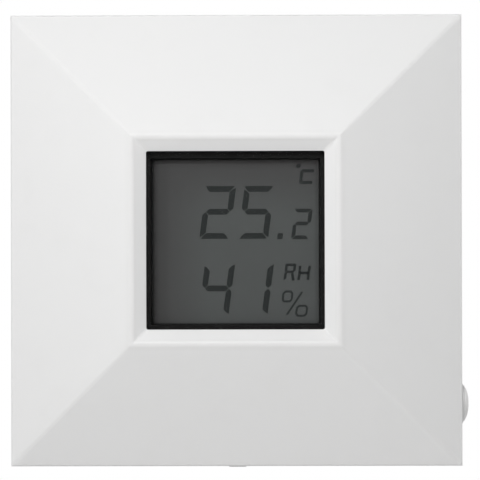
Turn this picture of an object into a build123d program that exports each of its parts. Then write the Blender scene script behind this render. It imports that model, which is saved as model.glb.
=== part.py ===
# Wall-mounted room sensor for temperature and humidity, with a square segment display.
#
# A four-sided pyramid of white plastic hangs on two hooks of a base plate and snaps on a bottom
# latch. It carries the display, the circuit board and two AAA cells. Its whole front unit swings
# out about the hooks when the latch is pressed.
#
# Frame: X to the viewer's right, Z up, and the front faces -Y. The wall is the plane y = 0, and
# the origin is the middle of the front unit's outline on that plane. A depth is the distance
# from the wall towards the viewer, so depth d lies at y = -d. All sizes are in millimetres.
import os
from math import asin, cos, degrees, hypot, pi, sin, sqrt

from build123d import *

# Depths from the wall to the crest: each layer's thickness, from the base plate forwards
PLATE_T = 2.0
CELL_GAP = 1.1  # between the base plate and the cells
CELL_R = 5.2
CELL_FIT = 0.1
HOLDER_FLOOR = 1.0
BOARD_T = 1.6
FRAME_BASE = 2.3  # thickness of the display frame behind the display
FILM_T = 0.2
GLASS_T = 0.7
MASK_T = 1.6
LENS_T = 1.2
LIP = 0.5  # thickness of the cover in front of the lens
BEVEL_DROP = 1.4  # how far the inner bevel falls from the crest to the window

# Front cover
SIDE = 80.0  # outer width and height
REAR_GAP = 1.5  # shadow gap between the cover's rear edge and the wall
FACET_DEPTH = 9.5  # from the shoulder, where the facets begin, to the crest
WALL = 2.0
CORNER_R = 0.8
CREST_OUTER = 0.465 * SIDE  # the flat square crest round the display
CREST_FLAT = 0.9
CREST_CORNER_R = 0.5
WINDOW = 0.392 * SIDE
WINDOW_CORNER_R = 0.35
SHOULDER_R = 0.6
CREST_R = 0.25
CUT_OVERRUN = 1.0
NEAR = 0.02  # how close an edge must lie to the place where it is looked for

# Display, its mask and its frame on the board
LENS_LAP = 2.05  # how far the lens reaches behind the edge of the window
LENS_FIT = 0.15
MASK_SIDE_BORDER = 1.05  # black borders seen inside the window
MASK_TOP_BORDER = 1.55
MASK_BOTTOM_BORDER = 1.05
MASK_LEAN = 0.35  # how far each inner wall of the mask leans outwards towards the viewer
FRAME_GAP = 0.35
FRAME_WALL = 0.8
FRAME_FIT = 0.1
FILM_INSET = 0.3
GLASS_LEDGE = 1.6  # contact ledge of the front glass, above and below the rear glass
STRIP_GAP = 0.15
STRIP_END = 2.1  # from the end of a contact strip to the side of the glass
COLLAR_WALL = 1.2
COLLAR_ABOVE_BOARD = 0.9
PEG_R = 0.8
PEG_FIT = 0.08

# Circuit board and the posts that it is screwed to
BOARD_GAP = SIDE / 16  # from the board's edge to the cover's walls
BOARD_CORNER_R = 1.0
SCREW_INSET = SIDE / 8  # from a screw's axis to the board's edges
SCREW_R = 0.88
SCREW_FIT = 0.02
SCREW_HEAD_R = 1.9
SCREW_HEAD_T = 1.3
SCREW_LENGTH = 5.2
SCREW_CROSS_W = 0.55
SCREW_CROSS_T = 0.6
SCREW_HOLE_FIT = 0.37
POST_WALL = 1.7
PILOT_SPARE = 0.5
PAD_LENGTH = 4.0
PAD_T = 1.6
PAD_INSET = 1.8
THERMAL_SLOT_W = 1.0
THERMAL_SLOT_LENGTH = 5.5

# Hinge at the top: round pins inside the cover, resting in hooks of the base plate
PIN_R = 1.1
PIN_FIT = 0.15
EAR_R = 1.35
EAR_T = 1.2
EAR_GAP = 0.4
EAR_REAR_GAP = 0.35
HOOK_X = 0.275 * SIDE
HOOK_WIDTH = 5.4
HOOK_WALL = 1.1
HOOK_LIP = 0.9  # how far the hook's front lip rises above the pin's axis
HOOK_TOP_GAP = 0.9

# Base plate
PLATE_GAP = 0.5
PLATE_CORNER_R = 1.5
PLATE_RECESS = 0.5  # depth of the panels sunk into the plate's rear
PLATE_LAND = 3.5  # width of the land round the panels
PLATE_CROSS_W = 10.0  # width of the land between them, which holds the wall screws
RIM_T = 1.4
RIM_HEIGHT = 3.0
RIM_DROP = 6.2  # the side rims stop this far below the pins' axis
RIB_T = 1.0
RIB_HEIGHT = 0.6
RIB_X = 14.0
RIB_END = 11.5
WALL_SCREW_SPACING = 0.75 * SIDE
WALL_SCREW_SLOT = 8.0
WALL_SCREW_R = 2.1
SCREW_PAD_T = 0.4
SCREW_PAD_MARGIN = 1.6

# Latch at the bottom: a beam held at both ends, with a catch and a finger tab at its middle
BEAM_SPAN = 26.0
BEAM_T = 1.0
BEAM_W = 2.4
BEAM_GAP = 0.6
FOOT_W = 3.0
FOOT_H = 2.5
FOOT_FIT = 0.1
SOCKET_WALL = 1.3
CATCH_W = 10.0
CATCH_T = 1.4
CATCH_REACH = 0.5  # how far the catch enters the groove in the cover's bottom wall
CATCH_PLAY = 0.2
CATCH_LEAD = 0.8
TAB_W = 3.3
TAB_T = 2.0
TAB_PROUD = 0.8  # how far the tab stands out below the cover
TAB_REAR_GAP = 0.4
TAB_FIT = 0.4
TAB_R = 0.3
GROOVE_FIT = 0.4
GROOVE_SPARE = 0.3

# Air slots in the top and bottom walls, on the side of the climate sensor
VENT_COUNT = 7
VENT_PITCH = 3.2
VENT_W = 1.4
VENT_LENGTH = 6.4
VENT_LOW = 4.9  # from the cover's rear edge to the slots
VENT_INSET = 0.225 * SIDE  # from the cover's left side to the middle slot

# Side button and the switch behind it
BUTTON_UP = 10.9  # above the cover's bottom edge
BUTTON_R = 3.55
BUTTON_FIT = 0.15
BUTTON_PROUD = 1.5
BUTTON_RIM = 0.35  # the straight part of the cap outside the wall, before its dome
BUTTON_FLANGE = 0.5
BUTTON_FLANGE_T = 1.4
BUTTON_FLANGE_GAP = 0.1
BUTTON_STEM_R = 2.0
BUTTON_STEM_GAP = 0.05
BUTTON_TRAVEL = 0.5
SWITCH_W = 6.0
SWITCH_T = 4.0
SWITCH_AXIS = 4.6  # from the board to the plunger's axis
SWITCH_BEHIND_AXIS = 2.6
SWITCH_EDGE = 0.6  # from the board's edge to the switch's face
PLUNGER_R = 1.5
PLUNGER_FIT = 0.05
PLUNGER_PROUD = 1.4
PLUNGER_DEPTH = 1.6

# Cells, their holder and its contacts
CELL_LENGTH = 44.5  # with the positive nub
CELL_EDGE_R = 0.5
NUB_R = 1.9
NUB_LENGTH = 0.8
NUB_SHOULDER_STEP = 0.3
NUB_SHOULDER_INSET = 0.4
HOLDER_DIVIDER = 0.8
HOLDER_END = 1.2
HOLDER_REAR_GAP = 3.2  # from the base plate to the holder's walls
HOLDER_NOTCH_W = 16.0
HOLDER_NOTCH_D = 2.6
CONTACT_T = 0.4
CONTACT_W = 8.0
CONTACT_INSET = 0.4
CONTACT_FIT = 0.1
CONTACT_GAP = 0.05
TAIL_W = 1.6
SPRING_LENGTH = 3.7
SPRING_WIRE_R = 0.25
SPRING_BASE_R = 3.2
SPRING_TIP_R = 1.7
SPRING_TURNS = 3
ARCS_PER_TURN = 4

# Parts on the rear of the board, most of them next to the battery holder. An inset is the
# distance from a part's middle to the board's nearest edge, and an X is a place from the board's
# middle.
PART_GAP = 0.8  # between the holder and the parts next to it
RADIO_SCREW_GAP = 2.1  # from the radio board to the head of the screw beside it
RADIO_W = 20.0
RADIO_H = 14.0
RADIO_T = 0.8
SHIELD_W = 14.0
SHIELD_H = 11.0
SHIELD_T = 1.9
SHIELD_SHIFT = 2.2
SHIELD_R = 0.5
ANTENNA_R = 0.35
ANTENNA_INSET = 3.4
ANTENNA_RISE = 2.2
ANTENNA_BEND_R = 0.9
CHIP_X = 12.0
CHIP_SIDE = 7.0
CHIP_T = 1.3
CHIP_LEAD_COUNT = 8
CHIP_LEAD_PITCH = 0.8
CHIP_LEAD_W = 0.35
CHIP_LEAD_REACH = 1.0
DRIVER_X = -6.0
DRIVER_W = 12.0
DRIVER_H = 7.4
DRIVER_T = 2.1
DRIVER_LEAD_COUNT = 9
DRIVER_LEAD_PITCH = 1.2
DRIVER_LEAD_W = 0.42
DRIVER_LEAD_REACH = 1.3
LEAD_T = 0.25
CRYSTAL_X = 11.0
CRYSTAL_INSET = 2.6
CRYSTAL_LENGTH = 10.6
CRYSTAL_W = 4.4
CRYSTAL_T = 3.4
CAPACITOR_X = 13.0
CAPACITOR_R = 3.15
CAPACITOR_T = 5.6
CAPACITOR_FOOT = 6.8
CAPACITOR_FOOT_T = 0.9
CAPACITOR_GROOVE = 0.35
CAPACITOR_GROOVE_AT = 1.7
CLIMATE_INSET = 3.6
CLIMATE_SIDE = 3.0
CLIMATE_T = 1.1
CLIMATE_PORT_R = 0.75
CLIMATE_PORT_DEPTH = 0.5
SMALL_PART_L = 1.6
SMALL_PART_W = 0.8
SMALL_PART_T = 0.5
SMALL_PART_PITCH = 1.6
SMALL_ROW_COUNT = 5
SMALL_ROW_OUT = 5.0  # from a screw's axis to the row beside it

# Worked out from the sizes above: the depth of each layer
CELL_DEPTH = PLATE_T + CELL_GAP + CELL_R
BOARD_REAR = CELL_DEPTH + CELL_R + CELL_FIT + HOLDER_FLOOR
BOARD_FRONT = BOARD_REAR + BOARD_T
REFLECTOR_REAR = BOARD_FRONT + FRAME_BASE
REAR_GLASS_REAR = REFLECTOR_REAR + FILM_T
FRONT_GLASS_REAR = REAR_GLASS_REAR + GLASS_T
FRONT_FILM_REAR = FRONT_GLASS_REAR + GLASS_T
MASK_REAR = FRONT_FILM_REAR + FILM_T
LENS_REAR = MASK_REAR + MASK_T
SEAT_DEPTH = LENS_REAR + LENS_T
CREST_DEPTH = SEAT_DEPTH + LIP + BEVEL_DROP
SHOULDER_DEPTH = CREST_DEPTH - FACET_DEPTH

# Worked out: widths and heights
HALF = SIDE / 2
SLOPE = FACET_DEPTH / (HALF - CREST_OUTER / 2)
SLANT = hypot(1, SLOPE)
CAVITY = SIDE - 2 * WALL
CAVITY_SHOULDER = SHOULDER_DEPTH + WALL * (SLOPE - SLANT)
SEAT_SIDE = SIDE - 2 * (SEAT_DEPTH - SHOULDER_DEPTH + WALL * SLANT) / SLOPE
LENS_SIDE = WINDOW + 2 * LENS_LAP
POCKET = LENS_SIDE + 2 * LENS_FIT
FRAME_SIDE = POCKET - 2 * FRAME_GAP
FRAME_INNER = FRAME_SIDE - 2 * FRAME_WALL
GLASS_SIDE = FRAME_INNER - 2 * FRAME_FIT
REAR_GLASS_HEIGHT = GLASS_SIDE - 2 * GLASS_LEDGE
STRIP_Z = (GLASS_SIDE - GLASS_LEDGE) / 2
STRIP_T = GLASS_LEDGE - 2 * STRIP_GAP
STRIP_LENGTH = GLASS_SIDE - 2 * STRIP_END
PEG_X = FRAME_SIDE / 2 - PEG_R - FRAME_FIT
BOARD_SIDE = CAVITY - 2 * BOARD_GAP
BOARD_EDGE = BOARD_SIDE / 2
SCREW_PLACE = BOARD_EDGE - SCREW_INSET
SCREW_PLACES = [(x, z) for x in (-SCREW_PLACE, SCREW_PLACE) for z in (-SCREW_PLACE, SCREW_PLACE)]
PILOT_R = SCREW_R + SCREW_FIT
CLIMATE_X = CLIMATE_Z = CLIMATE_INSET - BOARD_EDGE
PIN_DEPTH = PLATE_T + EAR_REAR_GAP + EAR_R
PIN_Z = CAVITY / 2 - HOOK_TOP_GAP - HOOK_LIP
PLATE_HALF = CAVITY / 2 - PLATE_GAP
RIM_FRONT = PLATE_T + RIM_HEIGHT
RIM_INNER = PLATE_HALF - RIM_T
BEAM_REAR = PLATE_T + BEAM_GAP
BEAM_FRONT = BEAM_REAR + BEAM_W
BUTTON_Z = BUTTON_UP - HALF
BUTTON_DEPTH = BOARD_REAR - SWITCH_AXIS
SWITCH_FACE = BOARD_EDGE - SWITCH_EDGE
PLUNGER_TIP = SWITCH_FACE + PLUNGER_PROUD
CHANNEL_R = CELL_R + CELL_FIT
CELL_PITCH = 2 * CHANNEL_R + HOLDER_DIVIDER
BAY_LENGTH = CELL_LENGTH + SPRING_LENGTH + 2 * CONTACT_T + 2 * CONTACT_GAP
HOLDER_LENGTH = BAY_LENGTH + 2 * HOLDER_END
HOLDER_HEIGHT = CELL_PITCH + 2 * CHANNEL_R + 2 * HOLDER_END
HOLDER_REAR = PLATE_T + HOLDER_REAR_GAP
HOLDER_SIDE = HOLDER_HEIGHT / 2
RADIO_X = RADIO_SCREW_GAP + SCREW_HEAD_R - SCREW_PLACE + RADIO_W / 2
SMALL_ROW_FAR = SCREW_PLACE + SMALL_ROW_OUT
SMALL_ROW_MID = (SCREW_HEAD_R - SCREW_PLACE + DRIVER_X - DRIVER_W / 2) / 2
SMALL_ROWS = [(SMALL_ROW_FAR, 1), (SMALL_ROW_MID, 1), (-SMALL_ROW_FAR, -1)]  # X, above or below


def front(depth):
    """The plane at a depth, facing the viewer, with X to the right and Z up."""
    return Plane(origin=(0, -depth, 0), x_dir=(1, 0, 0), z_dir=(0, -1, 0))


def slab(outline, low, high):
    """An outline seen from the front, made solid between two depths."""
    return extrude(front(low) * outline, amount=high - low)


def block(x, z, width, height, low, high):
    return slab(Pos(x, z) * Rectangle(width, height), low, high)


def span(x_low, x_high, z_low, z_high, low, high):
    """A block given by its limits."""
    middle = ((x_low + x_high) / 2, (z_low + z_high) / 2)
    return block(*middle, x_high - x_low, z_high - z_low, low, high)


def peg(x, z, radius, low, high):
    return slab(Pos(x, z) * Circle(radius), low, high)


def rod(radius, x_low, x_high, depth, z):
    """A round bar along X."""
    centre = Plane(origin=(x_low, -depth, z), x_dir=(0, 1, 0), z_dir=(1, 0, 0))
    return extrude(centre * Circle(radius), amount=x_high - x_low)


def turned(outline, x, depth, z, direction=1):
    """A piece turned about the X axis, from its half outline of (distance along X, radius)."""
    centre = Plane(origin=(x, -depth, z), x_dir=(direction, 0, 0), z_dir=(0, -1, 0))
    axis = Axis(origin=(x, -depth, z), direction=(1, 0, 0))
    return revolve(centre * make_face(outline), axis=axis)


def rounded(side, radius):
    return RectangleRounded(side, side, radius)


def tapered(low_outline, low, high_outline, high):
    """A ruled solid between one outline at each of two depths."""
    return loft([front(low) * low_outline, front(high) * high_outline], ruled=True)


def edges_at(shape, depth, least=0, most=SIDE):
    """The edges that lie on one depth, with their middles between two distances from the axis."""
    def reach(edge):
        middle = edge @ 0.5
        return max(abs(middle.X), abs(middle.Z))

    flat = [e for e in shape.edges() if all(abs(v.Y + depth) < NEAR for v in e.vertices())]
    return [e for e in flat if least < reach(e) < most]


# Front cover


def cover_outside():
    walls = slab(rounded(SIDE, CORNER_R), REAR_GAP, SHOULDER_DEPTH)
    crest = rounded(CREST_OUTER, CREST_CORNER_R)
    facets = tapered(rounded(SIDE, CORNER_R), SHOULDER_DEPTH, crest, CREST_DEPTH)
    solid = walls + facets
    solid = fillet(edges_at(solid, SHOULDER_DEPTH), SHOULDER_R)
    return fillet(edges_at(solid, CREST_DEPTH), CREST_R)


def cover_cavity():
    outline = rounded(CAVITY, CORNER_R / 2)
    walls = slab(outline, REAR_GAP - CUT_OVERRUN, CAVITY_SHOULDER)
    return walls + tapered(outline, CAVITY_SHOULDER, rounded(SEAT_SIDE, CREST_CORNER_R), SEAT_DEPTH)


def window_cut():
    """The bevel that falls from the crest to the window, and the opening through the lip."""
    crest_inner = CREST_OUTER - 2 * CREST_FLAT
    lean = (crest_inner - WINDOW) / BEVEL_DROP
    over_side = crest_inner + lean * CUT_OVERRUN
    window = rounded(WINDOW, WINDOW_CORNER_R)
    over = rounded(over_side, CREST_CORNER_R)
    bevel = tapered(window, SEAT_DEPTH + LIP, over, CREST_DEPTH + CUT_OVERRUN)
    return bevel + slab(window, SEAT_DEPTH - CUT_OVERRUN, SEAT_DEPTH + LIP)


def display_collar():
    """Four walls behind the window that keep the lens, the mask and the display in line."""
    ring = rounded(POCKET + 2 * COLLAR_WALL, CREST_CORNER_R) - Rectangle(POCKET, POCKET)
    return slab(ring, BOARD_FRONT + COLLAR_ABOVE_BOARD, SEAT_DEPTH)


def board_posts(outside):
    """Screw posts and small pads that grow from the facets down to the board."""
    grown = [peg(x, z, PILOT_R + POST_WALL, BOARD_FRONT, CREST_DEPTH) for x, z in SCREW_PLACES]
    for place in (PAD_INSET - BOARD_EDGE, BOARD_EDGE - PAD_INSET):
        grown.append(block(0, place, PAD_LENGTH, PAD_T, BOARD_FRONT, CREST_DEPTH))
        grown.append(block(place, 0, PAD_T, PAD_LENGTH, BOARD_FRONT, CREST_DEPTH))
    return [piece & outside for piece in grown]


def hinge_pins():
    """Two round pins, each between a pair of ears that hang from the top wall."""
    pieces = []
    for x in (-HOOK_X, HOOK_X):
        inner = HOOK_WIDTH / 2 + EAR_GAP
        pieces.append(rod(PIN_R, x - inner - EAR_T, x + inner + EAR_T, PIN_DEPTH, PIN_Z))
        for side in (-1, 1):
            low, high = sorted((x + side * inner, x + side * (inner + EAR_T)))
            pieces.append(rod(EAR_R, low, high, PIN_DEPTH, PIN_Z))
            web = span(low, high, PIN_Z, CAVITY / 2 + WALL / 2, PIN_DEPTH - EAR_R, PIN_DEPTH + EAR_R)
            pieces.append(web)
    return pieces


def vent_cuts():
    """Round-ended slots through the top and the bottom wall."""
    cuts = []
    for place in range(VENT_COUNT):
        x = VENT_INSET - HALF + VENT_PITCH * (place - (VENT_COUNT - 1) / 2)
        middle = REAR_GAP + VENT_LOW + VENT_LENGTH / 2
        outline = Pos(x, -middle) * SlotOverall(VENT_LENGTH, VENT_W, rotation=90)
        for z in (HALF - WALL - CUT_OVERRUN, -HALF - CUT_OVERRUN):
            cuts.append(extrude(Plane.XY.offset(z) * outline, amount=WALL + 2 * CUT_OVERRUN))
    return cuts


def latch_cuts():
    """The open notch for the finger tab, and the groove that the catch snaps into."""
    notch_half = TAB_W / 2 + TAB_FIT
    groove_low = BEAM_FRONT - CATCH_PLAY
    groove_high = groove_low + CATCH_T + CATCH_PLAY + GROOVE_FIT
    inner_face = -CAVITY / 2
    notch = span(
        -notch_half, notch_half, -HALF - CUT_OVERRUN, inner_face + CUT_OVERRUN,
        REAR_GAP - CUT_OVERRUN, groove_low,
    )
    groove_half = CATCH_W / 2 + GROOVE_FIT
    groove_floor = inner_face - CATCH_REACH - GROOVE_SPARE
    groove = span(
        -groove_half, groove_half, groove_floor, inner_face + CUT_OVERRUN, groove_low, groove_high
    )
    return [notch, groove]


def make_front_cover():
    outside = cover_outside()
    cover = outside - cover_cavity() + display_collar()
    cover += board_posts(outside)
    cover += hinge_pins()
    cover -= window_cut()
    cover -= slab(Rectangle(POCKET, POCKET), BOARD_FRONT, SEAT_DEPTH)
    pilot_end = BOARD_REAR + SCREW_LENGTH + PILOT_SPARE
    cover -= [peg(x, z, PILOT_R, BOARD_FRONT - CUT_OVERRUN, pilot_end) for x, z in SCREW_PLACES]
    cover -= vent_cuts()
    cover -= latch_cuts()
    hole_start = CAVITY / 2 - CUT_OVERRUN
    cover -= rod(BUTTON_R + BUTTON_FIT, hole_start, HALF + CUT_OVERRUN, BUTTON_DEPTH, BUTTON_Z)
    crest_inner = (CREST_OUTER - CREST_FLAT) / 2
    return fillet(edges_at(cover, CREST_DEPTH, most=crest_inner), CREST_R)


# Display


def make_display_lens():
    return slab(rounded(LENS_SIDE, CREST_CORNER_R), LENS_REAR, SEAT_DEPTH)


def make_display_mask():
    """The black frame round the display, its inner walls leaning outwards to the viewer."""
    def opening(grown):
        width = WINDOW - 2 * MASK_SIDE_BORDER + 2 * grown
        height = WINDOW - MASK_TOP_BORDER - MASK_BOTTOM_BORDER + 2 * grown
        shift = (MASK_BOTTOM_BORDER - MASK_TOP_BORDER) / 2
        return Pos(0, shift) * RectangleRounded(width, height, WINDOW_CORNER_R)

    outer = slab(rounded(LENS_SIDE, CREST_CORNER_R), MASK_REAR, LENS_REAR)
    over = MASK_LEAN * (MASK_T + CUT_OVERRUN) / MASK_T
    return outer - tapered(opening(0), MASK_REAR, opening(over), LENS_REAR + CUT_OVERRUN)


def make_display_glass():
    """Front film, front glass, rear glass and reflector, from the front to the rear."""
    film = GLASS_SIDE - 2 * FILM_INSET
    height = REAR_GLASS_HEIGHT
    return {
        "lcd_front_film": block(0, 0, film, film, FRONT_FILM_REAR, MASK_REAR),
        "lcd_front_glass": block(0, 0, GLASS_SIDE, GLASS_SIDE, FRONT_GLASS_REAR, FRONT_FILM_REAR),
        "lcd_rear_glass": block(0, 0, GLASS_SIDE, height, REAR_GLASS_REAR, FRONT_GLASS_REAR),
        "lcd_reflector": block(0, 0, film, height, REFLECTOR_REAR, REAR_GLASS_REAR),
    }


def make_lcd_frame():
    """A frame on the board that carries the display and keeps the contact strips upright."""
    opening = REAR_GLASS_HEIGHT - 2 * GLASS_LEDGE
    low, high = BOARD_FRONT - CUT_OVERRUN, CREST_DEPTH
    frame = slab(rounded(FRAME_SIDE, CREST_CORNER_R), BOARD_FRONT, FRONT_GLASS_REAR + GLASS_T / 2)
    frame -= block(0, 0, FRAME_INNER, FRAME_INNER, REFLECTOR_REAR, high)
    frame -= block(0, 0, opening, opening, low, high)
    for z in (-STRIP_Z, STRIP_Z):
        frame -= block(0, z, STRIP_LENGTH + 2 * FRAME_FIT, STRIP_T + 2 * FRAME_FIT, low, high)
    for x in (-PEG_X, PEG_X):
        frame += peg(x, 0, PEG_R, BOARD_REAR, REFLECTOR_REAR)
    return frame


def make_contact_strips():
    """Two strips of striped rubber that join the glass to the board."""
    depths = (BOARD_FRONT, FRONT_GLASS_REAR)
    return Compound([block(0, z, STRIP_LENGTH, STRIP_T, *depths) for z in (-STRIP_Z, STRIP_Z)])


# Board and its screws


def make_main_board():
    board = slab(rounded(BOARD_SIDE, BOARD_CORNER_R), BOARD_REAR, BOARD_FRONT)
    low, high = BOARD_REAR - CUT_OVERRUN, BOARD_FRONT + CUT_OVERRUN
    board -= [peg(x, z, SCREW_R + SCREW_HOLE_FIT, low, high) for x, z in SCREW_PLACES]
    board -= [peg(x, 0, PEG_R + PEG_FIT, low, high) for x in (-PEG_X, PEG_X)]
    # Two milled slots keep the board's warmth away from the climate sensor.
    shift = CLIMATE_SIDE / 2 + THERMAL_SLOT_W
    for turn, x, z in ((0, CLIMATE_X, CLIMATE_Z + shift), (90, CLIMATE_X + shift, CLIMATE_Z)):
        slot = Pos(x, z) * SlotOverall(THERMAL_SLOT_LENGTH, THERMAL_SLOT_W, rotation=turn)
        board -= slab(slot, low, high)
    return board


def make_board_screws():
    """Four pan-head screws that go through the board into the cover's posts."""
    screws = []
    for x, z in SCREW_PLACES:
        head = peg(x, z, SCREW_HEAD_R, BOARD_REAR - SCREW_HEAD_T, BOARD_REAR)
        head = fillet(edges_at(head, BOARD_REAR - SCREW_HEAD_T), SCREW_HEAD_T / 2)
        cross_end = BOARD_REAR - SCREW_HEAD_T + SCREW_CROSS_T
        for w, h in ((SCREW_CROSS_W, 2 * SCREW_R), (2 * SCREW_R, SCREW_CROSS_W)):
            head -= block(x, z, w, h, BOARD_REAR - SCREW_HEAD_T - CUT_OVERRUN, cross_end)
        screws.append(head + peg(x, z, SCREW_R, BOARD_REAR, BOARD_REAR + SCREW_LENGTH))
    return Compound(screws)


# Base plate and latch


def hook(x):
    """An open hook that cradles a hinge pin from below and from the front."""
    inner = PIN_R + PIN_FIT
    outer = inner + HOOK_WALL
    low, high = x - HOOK_WIDTH / 2, x + HOOK_WIDTH / 2
    cradle = rod(outer, low, high, PIN_DEPTH, PIN_Z)
    cradle -= span(low, high, PIN_Z, PIN_Z + outer, PIN_DEPTH - outer, PIN_DEPTH + outer)
    cradle += span(low, high, PIN_Z, PIN_Z + HOOK_LIP, PIN_DEPTH + inner, PIN_DEPTH + outer)
    cradle -= rod(inner, low, high, PIN_DEPTH, PIN_Z)
    return cradle & span(low, high, -HALF, HALF, PLATE_T / 2, CREST_DEPTH)


def latch_socket(side):
    """The corner post that holds one foot of the latch beam against the rim."""
    outer = BEAM_SPAN / 2 + FOOT_W + FOOT_FIT
    top = -RIM_INNER + FOOT_H + FOOT_FIT
    post = span(outer, outer + SOCKET_WALL, -RIM_INNER, top + SOCKET_WALL, PLATE_T / 2, RIM_FRONT)
    cap = span(BEAM_SPAN / 2, outer, top, top + SOCKET_WALL, PLATE_T / 2, RIM_FRONT)
    socket = post + cap
    return socket if side > 0 else mirror(socket, about=Plane.YZ)


def rear_panels():
    """Four shallow panels sunk into the plate's rear, so that its rim and a cross touch the wall."""
    inner, outer = PLATE_CROSS_W / 2, PLATE_HALF - PLATE_LAND
    cuts = []
    for low, high in ((-outer, -inner), (inner, PIN_Z - PLATE_LAND)):
        for side in (-1, 1):
            middle = Pos(side * (inner + outer) / 2, (low + high) / 2)
            panel = middle * RectangleRounded(outer - inner, high - low, PLATE_CORNER_R)
            cuts.append(slab(panel, -CUT_OVERRUN, PLATE_RECESS))
    return cuts


def make_wall_plate():
    width = 2 * PLATE_HALF
    height = PLATE_HALF + PIN_Z
    middle = (PIN_Z - PLATE_HALF) / 2
    plate = slab(Pos(0, middle) * RectangleRounded(width, height, PLATE_CORNER_R), 0, PLATE_T)
    for side in (-1, 1):
        low, high = sorted((side * RIM_INNER, side * PLATE_HALF))
        plate += span(low, high, -RIM_INNER, PIN_Z - RIM_DROP, PLATE_T / 2, RIM_FRONT)
        rib_length = 2 * (PLATE_HALF - RIB_END)
        plate += block(side * RIB_X, 0, RIB_T, rib_length, PLATE_T / 2, PLATE_T + RIB_HEIGHT)
        pad_w = WALL_SCREW_SLOT + 2 * SCREW_PAD_MARGIN
        pad_h = 2 * (WALL_SCREW_R + SCREW_PAD_MARGIN)
        pad = Pos(side * WALL_SCREW_SPACING / 2, 0) * SlotOverall(pad_w, pad_h)
        plate += slab(pad, PLATE_T / 2, PLATE_T + SCREW_PAD_T)
        gap_half = CATCH_W / 2 + GROOVE_FIT
        low, high = sorted((side * gap_half, side * (PLATE_HALF - PLATE_CORNER_R)))
        plate += span(low, high, -PLATE_HALF, -RIM_INNER, PLATE_T / 2, RIM_FRONT)
        plate += hook(side * HOOK_X)
        plate += latch_socket(side)
    for side in (-1, 1):
        slot = Pos(side * WALL_SCREW_SPACING / 2, 0) * SlotOverall(WALL_SCREW_SLOT, 2 * WALL_SCREW_R)
        plate -= slab(slot, -CUT_OVERRUN, RIM_FRONT)
    return plate - rear_panels()


def make_release_latch():
    """A springy beam on two feet, with the catch and the finger tab at its middle."""
    low, high = -RIM_INNER, -RIM_INNER + BEAM_T
    half = BEAM_SPAN / 2
    latch = span(-half, half, low, high, BEAM_REAR, BEAM_FRONT)
    for side in (-1, 1):
        start, end = sorted((side * half, side * (half + FOOT_W)))
        latch += span(start, end, low, low + FOOT_H, PLATE_T, RIM_FRONT)
    catch_half = CATCH_W / 2
    catch_front = BEAM_FRONT + CATCH_T
    catch_low = -CAVITY / 2 - CATCH_REACH
    latch += span(-catch_half, catch_half, low, high, BEAM_REAR, catch_front)
    catch = span(-catch_half, catch_half, catch_low, low, BEAM_FRONT, catch_front)
    lead = [
        e for e in catch.edges().filter_by(Axis.X)
        if abs((e @ 0).Z - catch_low) < NEAR and abs((e @ 0).Y + catch_front) < NEAR
    ]
    latch += chamfer(lead, CATCH_LEAD)
    tab_rear = PLATE_T + TAB_REAR_GAP
    tab = span(-TAB_W / 2, TAB_W / 2, -HALF - TAB_PROUD, high, tab_rear, tab_rear + TAB_T)
    tab_end = [e for e in tab.edges().filter_by(Axis.Y) if (e @ 0).Z < -HALF]
    return latch + fillet(tab_end, TAB_R)


# Side button and switch


def make_function_button():
    """A domed cap with an inner flange, and a stem that reaches the switch."""
    stem_start = PLUNGER_TIP + BUTTON_STEM_GAP
    flange_end = CAVITY / 2 - BUTTON_FLANGE_GAP
    flange_start = flange_end - BUTTON_FLANGE_T
    flange_r = BUTTON_R + BUTTON_FLANGE
    rim = HALF + BUTTON_RIM
    rise = BUTTON_PROUD - BUTTON_RIM
    tip = HALF + BUTTON_PROUD
    dome_r = (BUTTON_R**2 + rise**2) / (2 * rise)
    dome = CenterArc((tip - dome_r, 0), dome_r, 0, degrees(asin(BUTTON_R / dome_r)))
    steps = Polyline(
        (rim, BUTTON_R),
        (flange_end, BUTTON_R),
        (flange_end, flange_r),
        (flange_start, flange_r),
        (flange_start, BUTTON_STEM_R),
        (stem_start, BUTTON_STEM_R),
        (stem_start, 0),
        (tip, 0),
    )
    return turned(dome + steps, 0, BUTTON_DEPTH, BUTTON_Z)


def make_tact_switch():
    low = BUTTON_DEPTH - SWITCH_BEHIND_AXIS
    body = block(SWITCH_FACE - SWITCH_T / 2, BUTTON_Z, SWITCH_T, SWITCH_W, low, BOARD_REAR)
    body = fillet(body.edges().filter_by(Axis.X), TAB_R)
    start = SWITCH_FACE - PLUNGER_DEPTH - BUTTON_TRAVEL
    return body - rod(
        PLUNGER_R + PLUNGER_FIT, start, SWITCH_FACE + CUT_OVERRUN, BUTTON_DEPTH, BUTTON_Z
    )


def make_switch_plunger():
    plunger = rod(PLUNGER_R, SWITCH_FACE - PLUNGER_DEPTH, PLUNGER_TIP, BUTTON_DEPTH, BUTTON_Z)
    tip = [e for e in plunger.edges() if (e @ 0).X > SWITCH_FACE and e.geom_type == GeomType.CIRCLE]
    return chamfer(tip, TAB_R)


# Cells, holder and contacts


def cell_z(side):
    return side * CELL_PITCH / 2


def cell_ends(side):
    """Where the negative and the positive end of a cell lie along X. The upper cell's nub
    points right, and the lower cell's nub points left."""
    negative = -side * (BAY_LENGTH / 2 - CONTACT_T - CONTACT_GAP - SPRING_LENGTH)
    return negative, negative + side * CELL_LENGTH


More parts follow.
